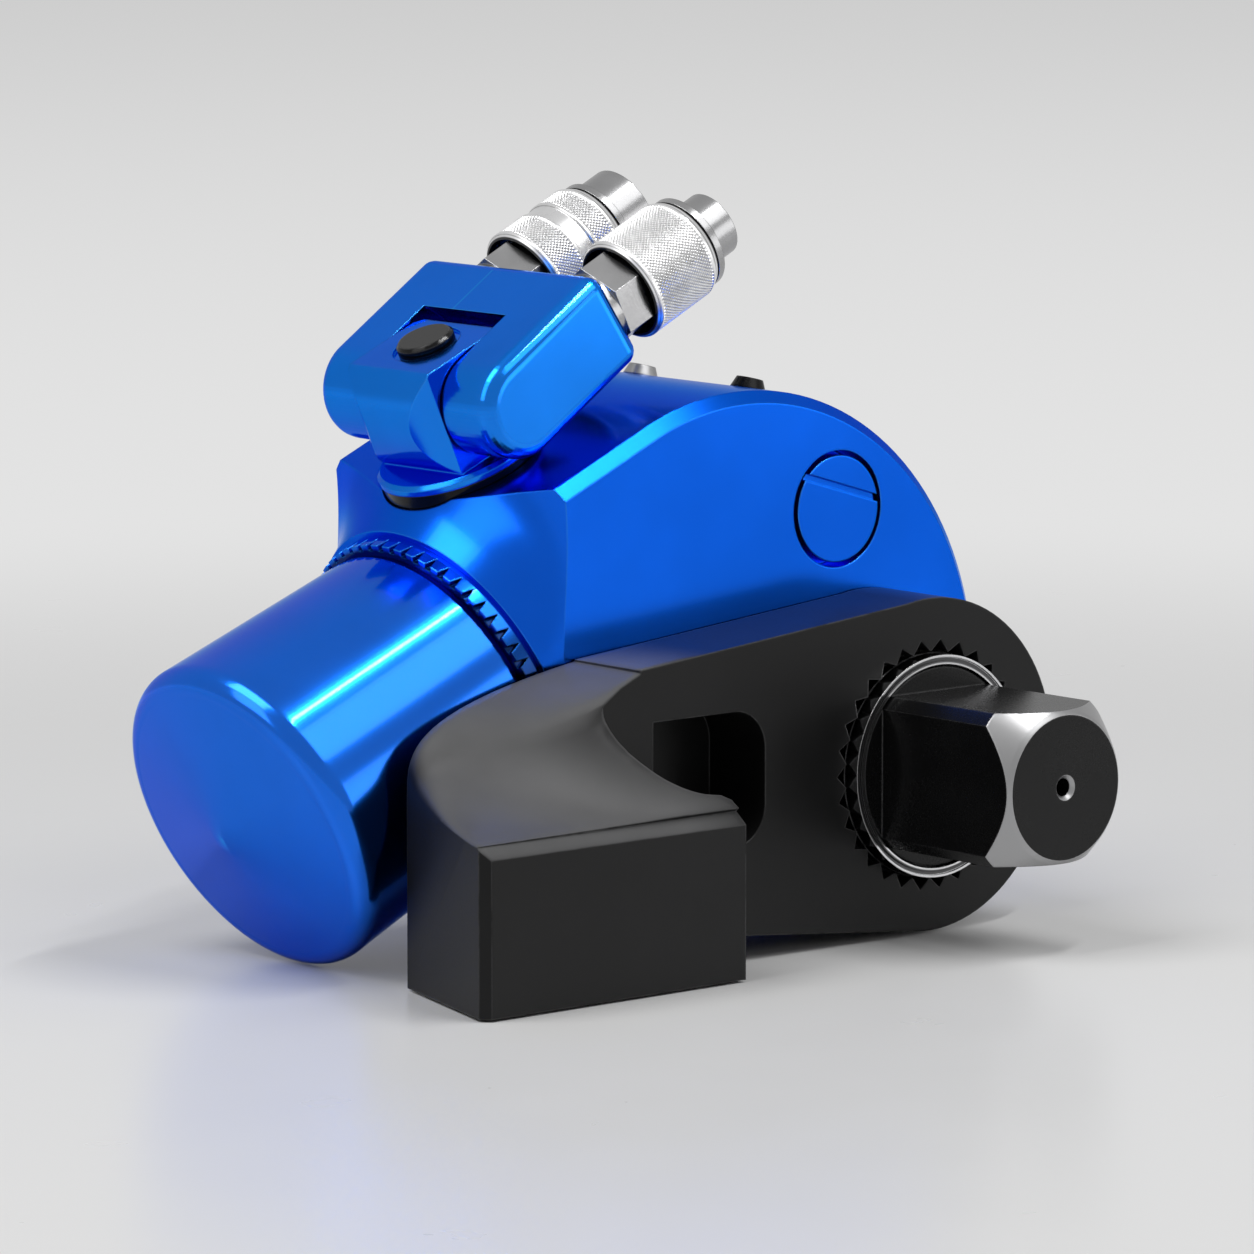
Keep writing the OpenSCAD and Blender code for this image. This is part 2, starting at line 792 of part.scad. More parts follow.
module drive_lever() {
  near = chamber_near + plate_gap;
  far = chamber_far - plate_gap - plate_t;
  half = pawl_half + 3;
  color(dark_steel) in_lever_frame() {
    lever_plate(near);
    lever_plate(far);
    difference() {
      translate([-half, near + plate_t, bridge_low])
        cube([2 * half, far - near - plate_t, bridge_high - bridge_low]);
      translate([-pawl_half - pocket_gap, mid_y - pawl_w / 2 - pocket_gap, bridge_low - 1])
        cube([2 * (pawl_half + pocket_gap), pawl_w + 2 * pocket_gap, bridge_high - bridge_low - 1]);
    }
  }
}

module crank_pin() {
  color(steel) in_lever_frame()
    drive_bar(chamber_near + plate_gap, chamber_far - plate_gap, pin_r, [0, lever_r]);
}

module drive_pawl() {
  color(dark_steel) in_lever_frame() pawl();
}

module drive_pawl_springs() {
  color(steel) in_lever_frame() at_pawl_springs() translate([0, 0, 0.1])
    coil(1.9, 0.35, 4, bridge_high - ratchet_r - 7.2);
}

// Wheel of saw teeth whose valleys face the pawls at rest
module ratchet_outline() {
  pitch = 360 / ratchet_teeth;
  polygon([
    for (k = [0 : ratchet_teeth - 1])
      each [
        (ratchet_r - tooth_h) * dir(k * pitch - pawl_lead),
        ratchet_r * dir((k + 0.5) * pitch)
      ]
  ]);
}

module ratchet_wheel() {
  hex_gap = 0.1;
  color(dark_steel) difference() {
    union() {
      in_cylinder_frame() across(mid_y - ratchet_w / 2, mid_y + ratchet_w / 2) ratchet_outline();
      drive_bar(chamber_near + hub_gap, chamber_far - hub_gap, ratchet_hub_r);
    }
    translate([0, chamber_near - 1, 0]) rotate([-90, 0, 0])
      cylinder(r = hex_r + hex_gap, h = chamber_w + 2, $fn = 6);
  }
}

module square_drive() {
  hex_y0 = chamber_near - 1.5;
  hex_y1 = chamber_far + 1.5;
  tip_y = -drive_length;
  color(black) difference() {
    union() {
      intersection() {
        translate([-square_af / 2, tip_y, -square_af / 2])
          cube([square_af, drive_length + collar_y0, square_af]);
        translate([0, tip_y, 0]) rotate([-90, 0, 0]) rotate_extrude() polygon([
          [0, 0],
          [tip_r, 0],
          [square_af / 2, (square_af / 2 - tip_r) * 0.9],
          [corner_r, (square_af / 2 - tip_r) * 0.9 + (corner_r - square_af / 2) * 1.25],
          [corner_r, drive_length + collar_y0],
          [0, drive_length + collar_y0]
        ]);
      }
      drive_bar(collar_y0, shoulder_y, corner_r);
      drive_bar(shoulder_y, hex_y0, journal_r);
      translate([0, hex_y0, 0]) rotate([-90, 0, 0]) cylinder(r = hex_r, h = hex_y1 - hex_y0, $fn = 6);
      drive_bar(hex_y1, drive_end_y, rear_journal_r);
    }
    drive_bar(tip_y - 1, tip_y + 9, centre_hole_r);
    translate([0, tip_y - eps, 0]) rotate([-90, 0, 0])
      cylinder(r1 = centre_hole_r + 1, r2 = centre_hole_r, h = 1);
    drive_bar(retainer_stem_y, drive_end_y + 1, retainer_stem_r + run_gap);
  }
}

module drive_retainer() {
  color(black) difference() {
    union() {
      drive_bar(retainer_stem_y + 0.2, retainer_y, retainer_stem_r);
      translate([0, retainer_y, 0]) rotate([-90, 0, 0])
        cylinder(r1 = retainer_r, r2 = retainer_r - 2, h = retainer_t);
    }
    drive_bar(retainer_stem_y + 2.2, retainer_y + retainer_t + 1, button_r + run_gap);
  }
}

module retainer_button() {
  button_y = retainer_y + retainer_t + button_out;
  color(steel) difference() {
    drive_bar(retainer_stem_y + 9, button_y, button_r);
    drive_bar(retainer_stem_y + 8, retainer_stem_y + 12, button_r - 1.5);
  }
}

module retainer_spring() {
  color(steel) translate([0, retainer_stem_y + 2.3, 0]) rotate([-90, 0, 0]) coil(4.2, 0.6, 5, 9.6);
}

module piston() {
  front = piston_s + piston_len;
  color(steel) in_cylinder_frame() difference() {
    cylinder_bar(piston_s, front, bore_r - run_gap);
    cylinder_tube(piston_s + 7.8, piston_s + 12.2, bore_r + 1, bore_r - 3);
    cylinder_bar(front - 6, front + 1, rod_r - 4 + run_gap);
  }
}

module piston_seal() {
  color(rubber) in_cylinder_frame()
    cylinder_tube(piston_s + 7.9, piston_s + 12.1, bore_r - run_gap, bore_r - 2.95);
}

module piston_rod() {
  front = piston_s + piston_len;
  eye_s = rest_pin_s - rod_end_len;
  color(steel) in_cylinder_frame() {
    cylinder_bar(front, eye_s, rod_r);
    cylinder_bar(front - 6, front, rod_r - 4);
  }
}

// Eye on the rod, slotted across so that the crank pin can rise and fall as the lever swings
module rod_end() {
  width = ratchet_w - 2;
  rise = lever_r * (1 - cos(half_swing)) / 2;
  slot_gap = 0.25;
  eye = [rest_pin_s, axis_t];
  color(dark_steel) in_cylinder_frame() difference() {
    intersection() {
      union() {
        across(mid_y - width / 2, mid_y + width / 2) {
          translate(eye) circle(r = rod_r);
          translate([rest_pin_s - rod_end_len, axis_t - rod_r]) square([rod_end_len, 2 * rod_r]);
        }
      }
      cylinder_bar(rest_pin_s - rod_end_len, rest_pin_s + 2 * rod_r, rod_r + 2);
    }
    across(mid_y - width, mid_y + width) {
      for (way = [-1, 1])
        translate(eye + [0, way * rise]) circle(r = pin_r + slot_gap);
      translate(eye - [pin_r + slot_gap, rise]) square([2 * (pin_r + slot_gap), 2 * rise]);
    }
  }
}

// Frame of the swivel: its axis along Z, the housing's top at z = 0
module in_swivel_frame() {
  in_cylinder_frame() translate([swivel_s, mid_y, top_t]) children();
}

// Frame of the manifold: the tilt axis along Y, the manifold along X
module in_manifold_frame() {
  in_swivel_frame() translate([tilt_back, 0, tilt_h]) rotate([0, -manifold_lean, 0]) children();
}

// Frame of one coupler: its axis along Z from the port's spot face, side = -1 near and 1 far
module in_coupler_frame(side) {
  in_manifold_frame() at_port(side) children();
}

// Place of one port in the manifold's frame
module at_port(side) {
  translate([manifold_len, side * port_pitch / 2, -port_low]) rotate([0, 90 + port_drop, 0])
    translate([0, 0, -spot_depth]) children();
}

module swivel_gland_ring() {
  color(black) in_swivel_frame() difference() {
    translate([0, 0, -recess_depth]) cylinder(r = gland_ring_r, h = recess_depth + flange_gap);
    translate([0, 0, -recess_depth - 1]) cylinder(r = stem_r + 0.2, h = recess_depth + flange_gap + 2);
  }
}

module swivel_block() {
  base_z = flange_gap + 0.1;
  stem_z = -recess_depth - stem_depth + 1;
  top_z = tilt_h + block_top;
  color(blue) in_swivel_frame() difference() {
    union() {
      translate([0, 0, base_z]) rotate_extrude() polygon([
        [0, 0],
        [flange_r, 0],
        [flange_r, flange_t - flange_bevel],
        [flange_r - flange_bevel, flange_t],
        [0, flange_t]
      ]);
      translate([0, 0, stem_z]) cylinder(r = stem_r, h = base_z + 1 - stem_z);
      intersection() {
        translate([tilt_back, block_half, tilt_h]) rotate([90, 0, 0])
          cylinder(r = barrel_r, h = 2 * block_half);
        translate([0, 0, base_z + 1]) cylinder(r = block_turn_r, h = top_z - base_z - 1);
      }
    }
    translate([screw_back, 0, top_z - screw_head + screw_proud])
      cylinder(r = screw_r + 1.4, h = screw_head + 1);
    translate([screw_back, 0, top_z - 14]) cylinder(r = screw_shank_r + run_gap, h = 15);
    for (side = [-1, 1])
      translate([tilt_back, side * (block_half - tilt_pin_in / 2 + 0.5), tilt_h]) rotate([90, 0, 0])
        cylinder(r = tilt_pin_r + run_gap, h = tilt_pin_in + 1, center = true);
    translate([0, 0, stem_z + 1.5]) difference() {
      cylinder(r = stem_r + 1, h = 2.2);
      translate([0, 0, -1]) cylinder(r = stem_r - 1.6, h = 5);
    }
  }
}

module swivel_screw() {
  head_z = tilt_h + block_top - screw_head + screw_proud;
  color(black) in_swivel_frame() translate([screw_back, 0, 0]) {
    translate([0, 0, head_z]) cylinder(r = screw_r, h = screw_head - 0.8);
    translate([0, 0, head_z + screw_head - 0.8]) cylinder(r1 = screw_r, r2 = screw_r - 0.8, h = 0.8);
    translate([0, 0, head_z - 10]) cylinder(r = screw_shank_r, h = 10);
  }
}

module swivel_seal() {
  color(rubber) in_swivel_frame() translate([0, 0, 2.6 - recess_depth - stem_depth]) difference() {
    cylinder(r = stem_r, h = 2);
    translate([0, 0, -1]) cylinder(r = stem_r - 1.55, h = 4);
  }
}

module tilt_pins() {
  pin_len = tilt_pin_in + tilt_pin_out - 1.4;
  color(steel) in_swivel_frame() translate([tilt_back, 0, tilt_h])
    for (side = [-1, 1])
      translate([0, side * (block_half - tilt_pin_in + 0.6 + pin_len / 2), 0]) rotate([90, 0, 0])
        cylinder(r = tilt_pin_r, h = pin_len, center = true);
}

// Fork with round ears at the tilt axis and soft edges all round
module manifold_body() {
  side_y = manifold_w / 2 - round_r;
  back_x = manifold_len - round_r;
  hull() {
    for (side = [-1, 1]) {
      translate([0, side * side_y, 0]) rotate([90, 0, 0])
        rotate_extrude($fn = 64) translate([ear_r - round_r, 0]) circle(r = round_r, $fn = 24);
      for (up = [-1, 1])
        translate([back_x, side * side_y, up * (ear_r - round_r)])
          sphere(r = round_r, $fn = 24);
    }
  }
}

module manifold() {
  color(blue) in_manifold_frame() difference() {
    manifold_body();
    translate([-2 * ear_r, -slot_w / 2, -2 * ear_r]) cube([2 * ear_r, slot_w, 4 * ear_r]);
    translate([0, slot_w / 2, 0]) rotate([90, 0, 0]) cylinder(r = slot_r, h = slot_w);
    for (side = [-1, 1]) {
      translate([0, side * (slot_w / 2 + tilt_pin_out / 2 - 0.5), 0]) rotate([90, 0, 0])
        cylinder(r = tilt_pin_r + run_gap, h = tilt_pin_out + 1, center = true);
      at_port(side) translate([0, 0, -port_depth]) cylinder(r = port_r + run_gap, h = port_depth + 5);
      at_port(side) cylinder(r = spot_r, h = 2 * spot_depth + 2);
    }
  }
}

module port_washers() {
  color(dark_steel)
    for (side = [-1, 1])
      in_coupler_frame(side) difference() {
        cylinder(r = port_r + 2.4, h = washer_t);
        translate([0, 0, -1]) cylinder(r = port_r + run_gap, h = washer_t + 2);
      }
}

// Adapter that screws into the manifold: collar, hexagon and the round body that carries the sleeve
module adapter(side, sleeve_len, tip_radius, tip_len, mouth_r) {
  flange_end = sleeve_at + sleeve_len + 2.5;
  in_coupler_frame(side) difference() {
    union() {
      translate([0, 0, 1 - port_depth]) cylinder(r = port_r, h = port_depth + washer_t);
      translate([0, 0, washer_t]) cylinder(r = port_r + 2, h = collar_end - washer_t);
      translate([0, 0, collar_end]) cylinder(r = hex_corner_r, h = hex_end - collar_end, $fn = 6);
      translate([0, 0, hex_end]) cylinder(r = body_r, h = flange_end - hex_end);
      translate([0, 0, sleeve_at + sleeve_len + 0.5]) cylinder(r = sleeve_r - 1, h = 2);
      translate([0, 0, flange_end]) cylinder(r = tip_radius, h = tip_len);
    }
    translate([0, 0, flange_end - 8]) cylinder(r = mouth_r, h = tip_len + 9);
  }
}

module female_adapter() {
  color(steel) adapter(-1, near_sleeve_len, female_tip_r, female_tip, female_tip_r - 2);
}

module male_adapter() {
  color(steel) adapter(1, far_sleeve_len, male_tip_r, male_tip, male_tip_r - 4);
}

// Knurled sleeve over an adapter's body, hollow over the hexagon
module coupler_sleeve(side, sleeve_len, band) {
  edge = 1;
  end = sleeve_at + sleeve_len;
  band_low = sleeve_at + 0.42 * sleeve_len;
  band_high = sleeve_at + 0.62 * sleeve_len;
  groove = [
    [sleeve_r, band_low],
    [sleeve_r - band, band_low + band],
    [sleeve_r - band, band_high - band],
    [sleeve_r, band_high]
  ];
  in_coupler_frame(side) difference() {
    rotate_extrude() polygon(concat(
      [[0, sleeve_at], [sleeve_r - edge, sleeve_at], [sleeve_r, sleeve_at + edge]],
      band > 0 ? groove : [],
      [[sleeve_r, end - 2 * edge], [sleeve_r - edge, end], [0, end]]
    ));
    translate([0, 0, sleeve_at - 1]) cylinder(r = body_r + sleeve_gap, h = sleeve_len + 2);
    translate([0, 0, sleeve_at - 1]) cylinder(r = sleeve_recess_r, h = recess_len + 1);
    translate([0, 0, sleeve_at + recess_len + 3]) cylinder(r = body_r + 2.4, h = 9);
  }
}

module female_sleeve() {
  color(steel) coupler_sleeve(-1, near_sleeve_len, 0);
}

module female_sleeve_spring() {
  color(steel) in_coupler_frame(-1) translate([0, 0, sleeve_at + recess_len + 3.2])
    coil(body_r + 1.2, 0.7, 4, 8.6);
}

module male_collar() {
  color(steel) coupler_sleeve(1, far_sleeve_len, collar_band);
}

housing();
cylinder_cap();
cap_lock_ring();
cap_seal();
rod_gland();
rod_seal();
reaction_sleeve();
retaining_ring();
front_bush();
rear_bush();
crank_pin_plug();
top_plugs();
holding_pawl();
holding_pawl_springs();
reaction_arm();
drive_lever();
crank_pin();
drive_pawl();
drive_pawl_springs();
ratchet_wheel();
square_drive();
drive_retainer();
retainer_button();
retainer_spring();
piston();
piston_seal();
piston_rod();
rod_end();
swivel_gland_ring();
swivel_block();
swivel_screw();
swivel_seal();
tilt_pins();
manifold();
port_washers();
female_adapter();
female_sleeve();
female_sleeve_spring();
male_adapter();
male_collar();
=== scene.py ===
"""Looks and stage of a hydraulic torque wrench, laid out as an add-on and run as a script."""

import json
import math

import bmesh
import bpy
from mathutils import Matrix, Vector


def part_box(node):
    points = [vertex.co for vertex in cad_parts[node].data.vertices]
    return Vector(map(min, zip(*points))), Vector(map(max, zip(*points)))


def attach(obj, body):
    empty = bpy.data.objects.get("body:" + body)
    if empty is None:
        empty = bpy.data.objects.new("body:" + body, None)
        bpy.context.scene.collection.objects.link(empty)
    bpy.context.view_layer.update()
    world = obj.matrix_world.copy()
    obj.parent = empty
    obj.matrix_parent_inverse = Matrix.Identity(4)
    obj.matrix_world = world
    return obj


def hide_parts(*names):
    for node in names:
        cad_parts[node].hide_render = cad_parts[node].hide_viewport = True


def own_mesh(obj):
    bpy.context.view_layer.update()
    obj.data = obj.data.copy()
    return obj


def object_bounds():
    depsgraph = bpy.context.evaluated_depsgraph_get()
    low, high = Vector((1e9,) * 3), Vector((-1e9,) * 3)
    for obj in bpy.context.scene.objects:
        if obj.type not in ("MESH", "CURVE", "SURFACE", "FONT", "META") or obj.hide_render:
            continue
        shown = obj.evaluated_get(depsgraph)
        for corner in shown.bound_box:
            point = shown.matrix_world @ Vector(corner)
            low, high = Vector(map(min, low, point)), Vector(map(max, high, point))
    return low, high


bl_info = {
    "name": "Hydraulic torque wrench",
    "version": (1, 0, 0),
    "blender": (4, 5, 0),
    "location": "View3D > Sidebar > Torque wrench",
    "description": "Finishes and stage for a hydraulic torque wrench",
    "category": "Object",
}

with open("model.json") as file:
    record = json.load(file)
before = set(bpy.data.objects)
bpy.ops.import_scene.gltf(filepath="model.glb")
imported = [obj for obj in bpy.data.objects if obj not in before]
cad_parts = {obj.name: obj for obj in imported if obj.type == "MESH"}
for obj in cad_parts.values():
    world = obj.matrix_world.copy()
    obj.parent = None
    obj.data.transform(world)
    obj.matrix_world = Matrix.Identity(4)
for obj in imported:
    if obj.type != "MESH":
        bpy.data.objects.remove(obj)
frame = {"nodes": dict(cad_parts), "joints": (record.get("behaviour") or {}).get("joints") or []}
NODES = frame["nodes"]
JOINTS = {joint["name"]: joint for joint in frame["joints"]}
CAD_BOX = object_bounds()
FLOOR = CAD_BOX[0][2]

# Axes of the square drive, which runs through the origin, of the cylinder and of the hose couplers
ORIGIN = Vector((0, 0, 0))
DRIVE_AXIS = Vector((0, 1, 0))
CYLINDER_AXIS = Vector(JOINTS["piston_slide"]["axis"]).normalized()
COUPLER_AXIS = Vector(JOINTS["male_collar_turn"]["axis"]).normalized()

# Radius that each finish rounds its sharp edges to, in metres
ANODISED_EDGE = 0.0006
BLACKENED_EDGE = 0.0007
PLATED_EDGE = 0.0003
KNURL_EDGE = 0.0001
RING_EDGE = 0.0002
SWEEP_EDGE = 0.004

# Scales that draw noise out into lathe lines, per metre
LATHE_LINES = 900.0
DRIVE_LINES = 500.0
RING_LINES = 1500.0

# Angle by which the couplers drop from the manifold's length, and the angle from which the arm's edges
# stay sharp
COUPLER_DROP = math.radians(8)
ARM_CREASE = math.radians(24)

# Details of the finishes, in metres: the manifold's parting line and half of its slot, whose back wall
# gets painted shade, measured from its middle; the lock ring's notches and the sleeves' inside, which get
# painted shade, below their rims; the start of the arm's foot, whose top gets a painted highlight, from
# the drive's axis; and the length of the square's turned tip
PARTING_LINE = (0.00428, 0.00472)
SLOT_HALF = 0.0163
NOTCH_DEPTH = (0.0018, 0.0006)
SLEEVE_WALL = (0.0009, 0.0007)
FOOT_START = (0.07, 0.1)
TIP_LENGTH = (0.012, 0.014)

# Knurl: the plain lip at its ends, in metres, and its pitch round the sleeve over its pitch along it
KNURL_LIP = 0.0005
KNURL_SLANT = 0.85

# Colours of small details
ANODISED_TINT = (0.03, 0.42, 1, 1)
# Painted highlight along the rounded edges of the anodised parts
EDGE_HIGHLIGHT_BLUE = (0.05, 0.32, 0.9, 1)
PARTING_BLUE = (0.08, 0.4, 0.9, 1)
# Painted shade in the lock ring's notches
NOTCH_SHADE = (0.002, 0.008, 0.03, 1)
# Painted shade on the back wall of the manifold's slot
SLOT_SHADE = (0.001, 0.004, 0.014, 1)
# Paler edges of black oxide: part rubbed wear, part painted highlight
RUBBED_AND_HIGHLIGHT_GREY = (0.13, 0.13, 0.132, 1)
BARE_STEEL = (0.37, 0.37, 0.375, 1)
# Painted highlight on the up-facing top of the arm's foot
FOOT_HIGHLIGHT_GREY = (0.11, 0.11, 0.112, 1)
# Painted shade inside the coupler sleeves
SLEEVE_SHADE = (0.006, 0.006, 0.006, 1)
RING_DULL = (0.5, 0.5, 0.51, 1)
RING_BRIGHT = (0.64, 0.64, 0.65, 1)
# Painted dark reflection on the shallow groove of the drive's ring
GROOVE_REFLECTION_DARK = (0.035, 0.035, 0.036, 1)


def centre(node):
    """Middle of a node's box."""
    low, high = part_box(node)
    return (Vector(low) + Vector(high)) / 2


def reach(node, point, axis):
    """Least and greatest distance of a node's corners along an axis, and the greatest off it."""
    offsets = [vertex.co - point for vertex in NODES[node].data.vertices]
    along = [offset.dot(axis) for offset in offsets]
    off = [(offset - axis * d).length for offset, d in zip(offsets, along)]
    return min(along), max(along), max(off)


class Wire:
    """One shader socket, so that node maths reads as a plain expression."""

    def __init__(self, tree, socket=None):
        self.tree = tree
        self.socket = socket

    def node(self, kind, settings=None, inputs=None, output=0):
        """Adds a node: its settings first, then the values or links of its sockets."""
        made = self.tree.nodes.new(kind)
        for name, value in (settings or {}).items():
            setattr(made, name, value)
        for name, value in (inputs or {}).items():
            if isinstance(value, Wire):
                self.tree.links.new(value.socket, made.inputs[name])
            else:
                made.inputs[name].default_value = value
        return Wire(self.tree, made.outputs[output])

    def math(self, operation, *values, clamp=False):
        """Adds a Math node."""
        settings = {"operation": operation, "use_clamp": clamp}
        return self.node("ShaderNodeMath", settings, dict(enumerate(values)))

    def __add__(self, other):
        return self.math("ADD", self, other)

    def __radd__(self, other):
        return self.math("ADD", other, self)

    def __sub__(self, other):
        return self.math("SUBTRACT", self, other)

    def __rsub__(self, other):
        return self.math("SUBTRACT", other, self)

    def __mul__(self, other):
        return self.math("MULTIPLY", self, other)

    def __rmul__(self, other):
        return self.math("MULTIPLY", other, self)

    def clamp(self):
        """This value kept between 0 and 1."""
        return self.math("ADD", self, 0.0, clamp=True)

    def smooth(self, low, high):
        """0 below low, 1 above high, with a soft step between."""
        return self.node("ShaderNodeMapRange", {"interpolation_type": "SMOOTHSTEP"},
                         {"Value": self, "From Min": low, "From Max": high})

    def band(self, low, high, soft):
        """1 between two values, with soft ends."""
        return self.smooth(low - soft, low + soft) * (1.0 - self.smooth(high - soft, high + soft))

    def mix(self, first, second):
        """Colour between two colours, with this wire as the share of the second."""
        return self.node("ShaderNodeMix", {"data_type": "RGBA"}, {0: self, 6: first, 7: second}, 2)

    def towards(self, other, share):
        """Vector between this one and another, by a share from 0 to 1."""
        return self.node("ShaderNodeMix", {"data_type": "VECTOR"}, {0: share, 4: self, 5: other}, 1)

    def noise(self, scale, detail=3.0):
        """Noise over this wire's coordinates, from 0 to 1."""
        inputs = {"Vector": self, "Scale": scale, "Detail": detail, "Roughness": 0.55}
        return self.node("ShaderNodeTexNoise", {}, inputs)

    def dot(self, direction):
        """Distance along a direction."""
        return self.node("ShaderNodeVectorMath", {"operation": "DOT_PRODUCT"}, {0: self, 1: direction}, 1)

    def from_point(self, point):
        """This place measured from a point."""
        return self.node("ShaderNodeVectorMath", {"operation": "SUBTRACT"}, {0: self, 1: point})

    def bump(self, distance, strength, under=None):
        """Normal of a surface whose height is this wire, on top of another normal if there is one."""
        inputs = {"Height": self, "Distance": distance, "Strength": strength}
        if under:
            inputs["Normal"] = under
        return self.node("ShaderNodeBump", {}, inputs)


class Finish:
    """A material under way: its tree, its coordinates in the tool's frame and its shader."""

    def __init__(self, name, **constants):
        self.material = bpy.data.materials.new(name)
        self.material.use_nodes = True
        tree = self.material.node_tree
        tree.nodes.clear()
        self.start = Wire(tree)
        self.place = self.start.node("ShaderNodeTexCoord", output="Object")
        self.shader = tree.nodes.new("ShaderNodeBsdfPrincipled")
        self.out = tree.nodes.new("ShaderNodeOutputMaterial")
        self.lit = Wire(tree, self.shader.outputs[0])
        self.show(self.lit)
        self.set(**constants)

    def show(self, wire):
        """Makes a shader the one that the surface shows."""
        self.material.node_tree.links.new(wire.socket, self.out.inputs["Surface"])

    def set(self, **values):
        """Sets sockets of the shader, written with underscores, to numbers, colours or wires."""
        for name, value in values.items():
            socket = self.shader.inputs[name.replace("_", " ")]
            if isinstance(value, Wire):
                self.material.node_tree.links.new(value.socket, socket)
            else:
                socket.default_value = value

    def rounded(self, radius, samples=6):
        """Normal that is rounded near sharp edges."""
        return self.start.node("ShaderNodeBevel", {"samples": samples}, {"Radius": radius})

    def edges(self, soft):
        """1 on the edges that a rounded normal softens."""
        true = self.start.node("ShaderNodeNewGeometry", output="True Normal")
        return (1.0 - soft.dot(true)).smooth(0.01, 0.16)

    def facing(self, direction):
        """1 where the surface faces a direction of the piece, -1 where it faces away."""
        return self.start.node("ShaderNodeTexCoord", output="Normal").dot(direction)

    def around(self, point, axis):
        """Angle in turns and distance along and off an axis through a point."""
        side = axis.orthogonal().normalized()
        off = self.place.from_point(point)
        u = off.dot(side)
        v = off.dot(axis.cross(side))
        turn = self.start.math("ARCTAN2", v, u) * (0.5 / math.pi)
        radius = self.start.math("SQRT", u * u + v * v)
        return turn, off.dot(axis), radius

    def lathe(self, point, axis, scale, lines_along=LATHE_LINES):
        """Noise drawn out round an axis, as a turning tool leaves it."""
        along, radius = self.around(point, axis)[1:]
        places = {0: along * lines_along, 1: radius * LATHE_LINES, 2: 0.0}
        return self.start.node("ShaderNodeCombineXYZ", {}, places).noise(scale, 2.0)


def shade(colour, share):
    """A colour made darker or lighter by a factor."""
    return tuple(min(1.0, c * share) for c in colour[:3]) + (1.0,)


def wear(names, material):
    """Gives CAD nodes a material in every slot."""
    for name in names:
        if name not in NODES:
            raise RuntimeError(f"the frame has no node named {name}")
        slots = NODES[name].data.materials
        slots.clear()
        slots.append(material)


def placed(name, data):
    """New object in the scene."""
    made = bpy.data.objects.new(name, data)
    bpy.context.scene.collection.objects.link(made)
    return made


def stand_in(name, mesh, material, node, body):
    """New piece that rides on a body and stands for a node."""
    mesh.materials.clear()
    mesh.materials.append(material)
    made = placed(name, mesh)
    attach(made, body)
    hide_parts(node)
    return made


class TorqueWrenchFinishes(bpy.types.PropertyGroup):
    """Colours and sizes of the finishes."""

    body_blue: bpy.props.FloatVectorProperty(
        name="Body blue", description="Colour of the anodised housing", subtype="COLOR", size=3,
        min=0, max=1, default=(0.004, 0.118, 0.78))
    cap_blue: bpy.props.FloatVectorProperty(
        name="Cap blue", description="Colour of the anodised cylinder cap", subtype="COLOR", size=3,
        min=0, max=1, default=(0.006, 0.15, 0.8))
    swivel_blue: bpy.props.FloatVectorProperty(
        name="Swivel blue", description="Colour of the anodised swivel and manifold", subtype="COLOR",
        size=3, min=0, max=1, default=(0.007, 0.21, 0.86))
    coat_black: bpy.props.FloatVectorProperty(
        name="Coat black", description="Colour of the blackened arm and drive", subtype="COLOR", size=3,
        min=0, max=1, default=(0.005, 0.005, 0.0052))
    plate_grey: bpy.props.FloatVectorProperty(
        name="Plate grey", description="Colour of the plated sleeves", subtype="COLOR", size=3,
        min=0, max=1, default=(0.9, 0.9, 0.905))
    hex_grey: bpy.props.FloatVectorProperty(
        name="Hexagon grey", description="Colour of the couplers' hexagon bodies", subtype="COLOR", size=3,
        min=0, max=1, default=(0.4, 0.4, 0.405))
    ground_grey: bpy.props.FloatVectorProperty(
        name="Ground steel", description="Colour of the ground steel inside", subtype="COLOR", size=3,
        min=0, max=1, default=(0.36, 0.365, 0.375))
    bush_bronze: bpy.props.FloatVectorProperty(
        name="Bush bronze", description="Colour of the bearing bushes", subtype="COLOR", size=3,
        min=0, max=1, default=(0.52, 0.34, 0.15))
    seal_black: bpy.props.FloatVectorProperty(
        name="Seal black", description="Colour of the seals", subtype="COLOR", size=3,
        min=0, max=1, default=(0.018, 0.018, 0.018))
    knurl_count: bpy.props.IntProperty(
        name="Knurl count", description="Knurl ridges round a coupler", min=24, max=160, default=84)
    knurl_depth: bpy.props.FloatProperty(
        name="Knurl depth", description="Depth of the knurl", subtype="DISTANCE", unit="LENGTH",
        min=0.0, max=0.0006, default=0.00032)


class TorqueWrenchStage(bpy.types.PropertyGroup):
    """Camera, floor and lamps."""

    camera_place: bpy.props.FloatVectorProperty(
        name="Camera place", description="Where the camera stands", subtype="TRANSLATION", unit="LENGTH",
        size=3, default=(-1.3521, -1.4365, 0.3103))
    camera_aim: bpy.props.FloatVectorProperty(
        name="Camera aim", description="Direction that the camera looks in", subtype="DIRECTION", size=3,
        default=(0.6498, 0.7475, -0.1383))
    lens: bpy.props.FloatProperty(
        name="Lens", description="Focal length of the camera, in millimetres", unit="CAMERA",
        min=20, max=400, default=229.7)
    floor_grey: bpy.props.FloatProperty(
        name="Floor grey", description="Colour of the floor near the tool", subtype="FACTOR",
        min=0, max=1, default=0.72)
    room_grey: bpy.props.FloatProperty(
        name="Room grey", description="Tone of the room", subtype="FACTOR", min=0, max=1, default=0.58)
    fill: bpy.props.FloatProperty(
        name="Fill", description="Light that the room gives from all sides", subtype="FACTOR",
        min=0, max=1, default=0.22)
    lamp_share: bpy.props.FloatProperty(
        name="Lamp share", description="Brightness of all lamps together", min=0, max=4, default=1.0)


def finishes():
    """The scene's finish settings."""
    return bpy.context.scene.torque_wrench_finishes


def stage_settings():
    """The scene's stage settings."""
    return bpy.context.scene.torque_wrench_stage


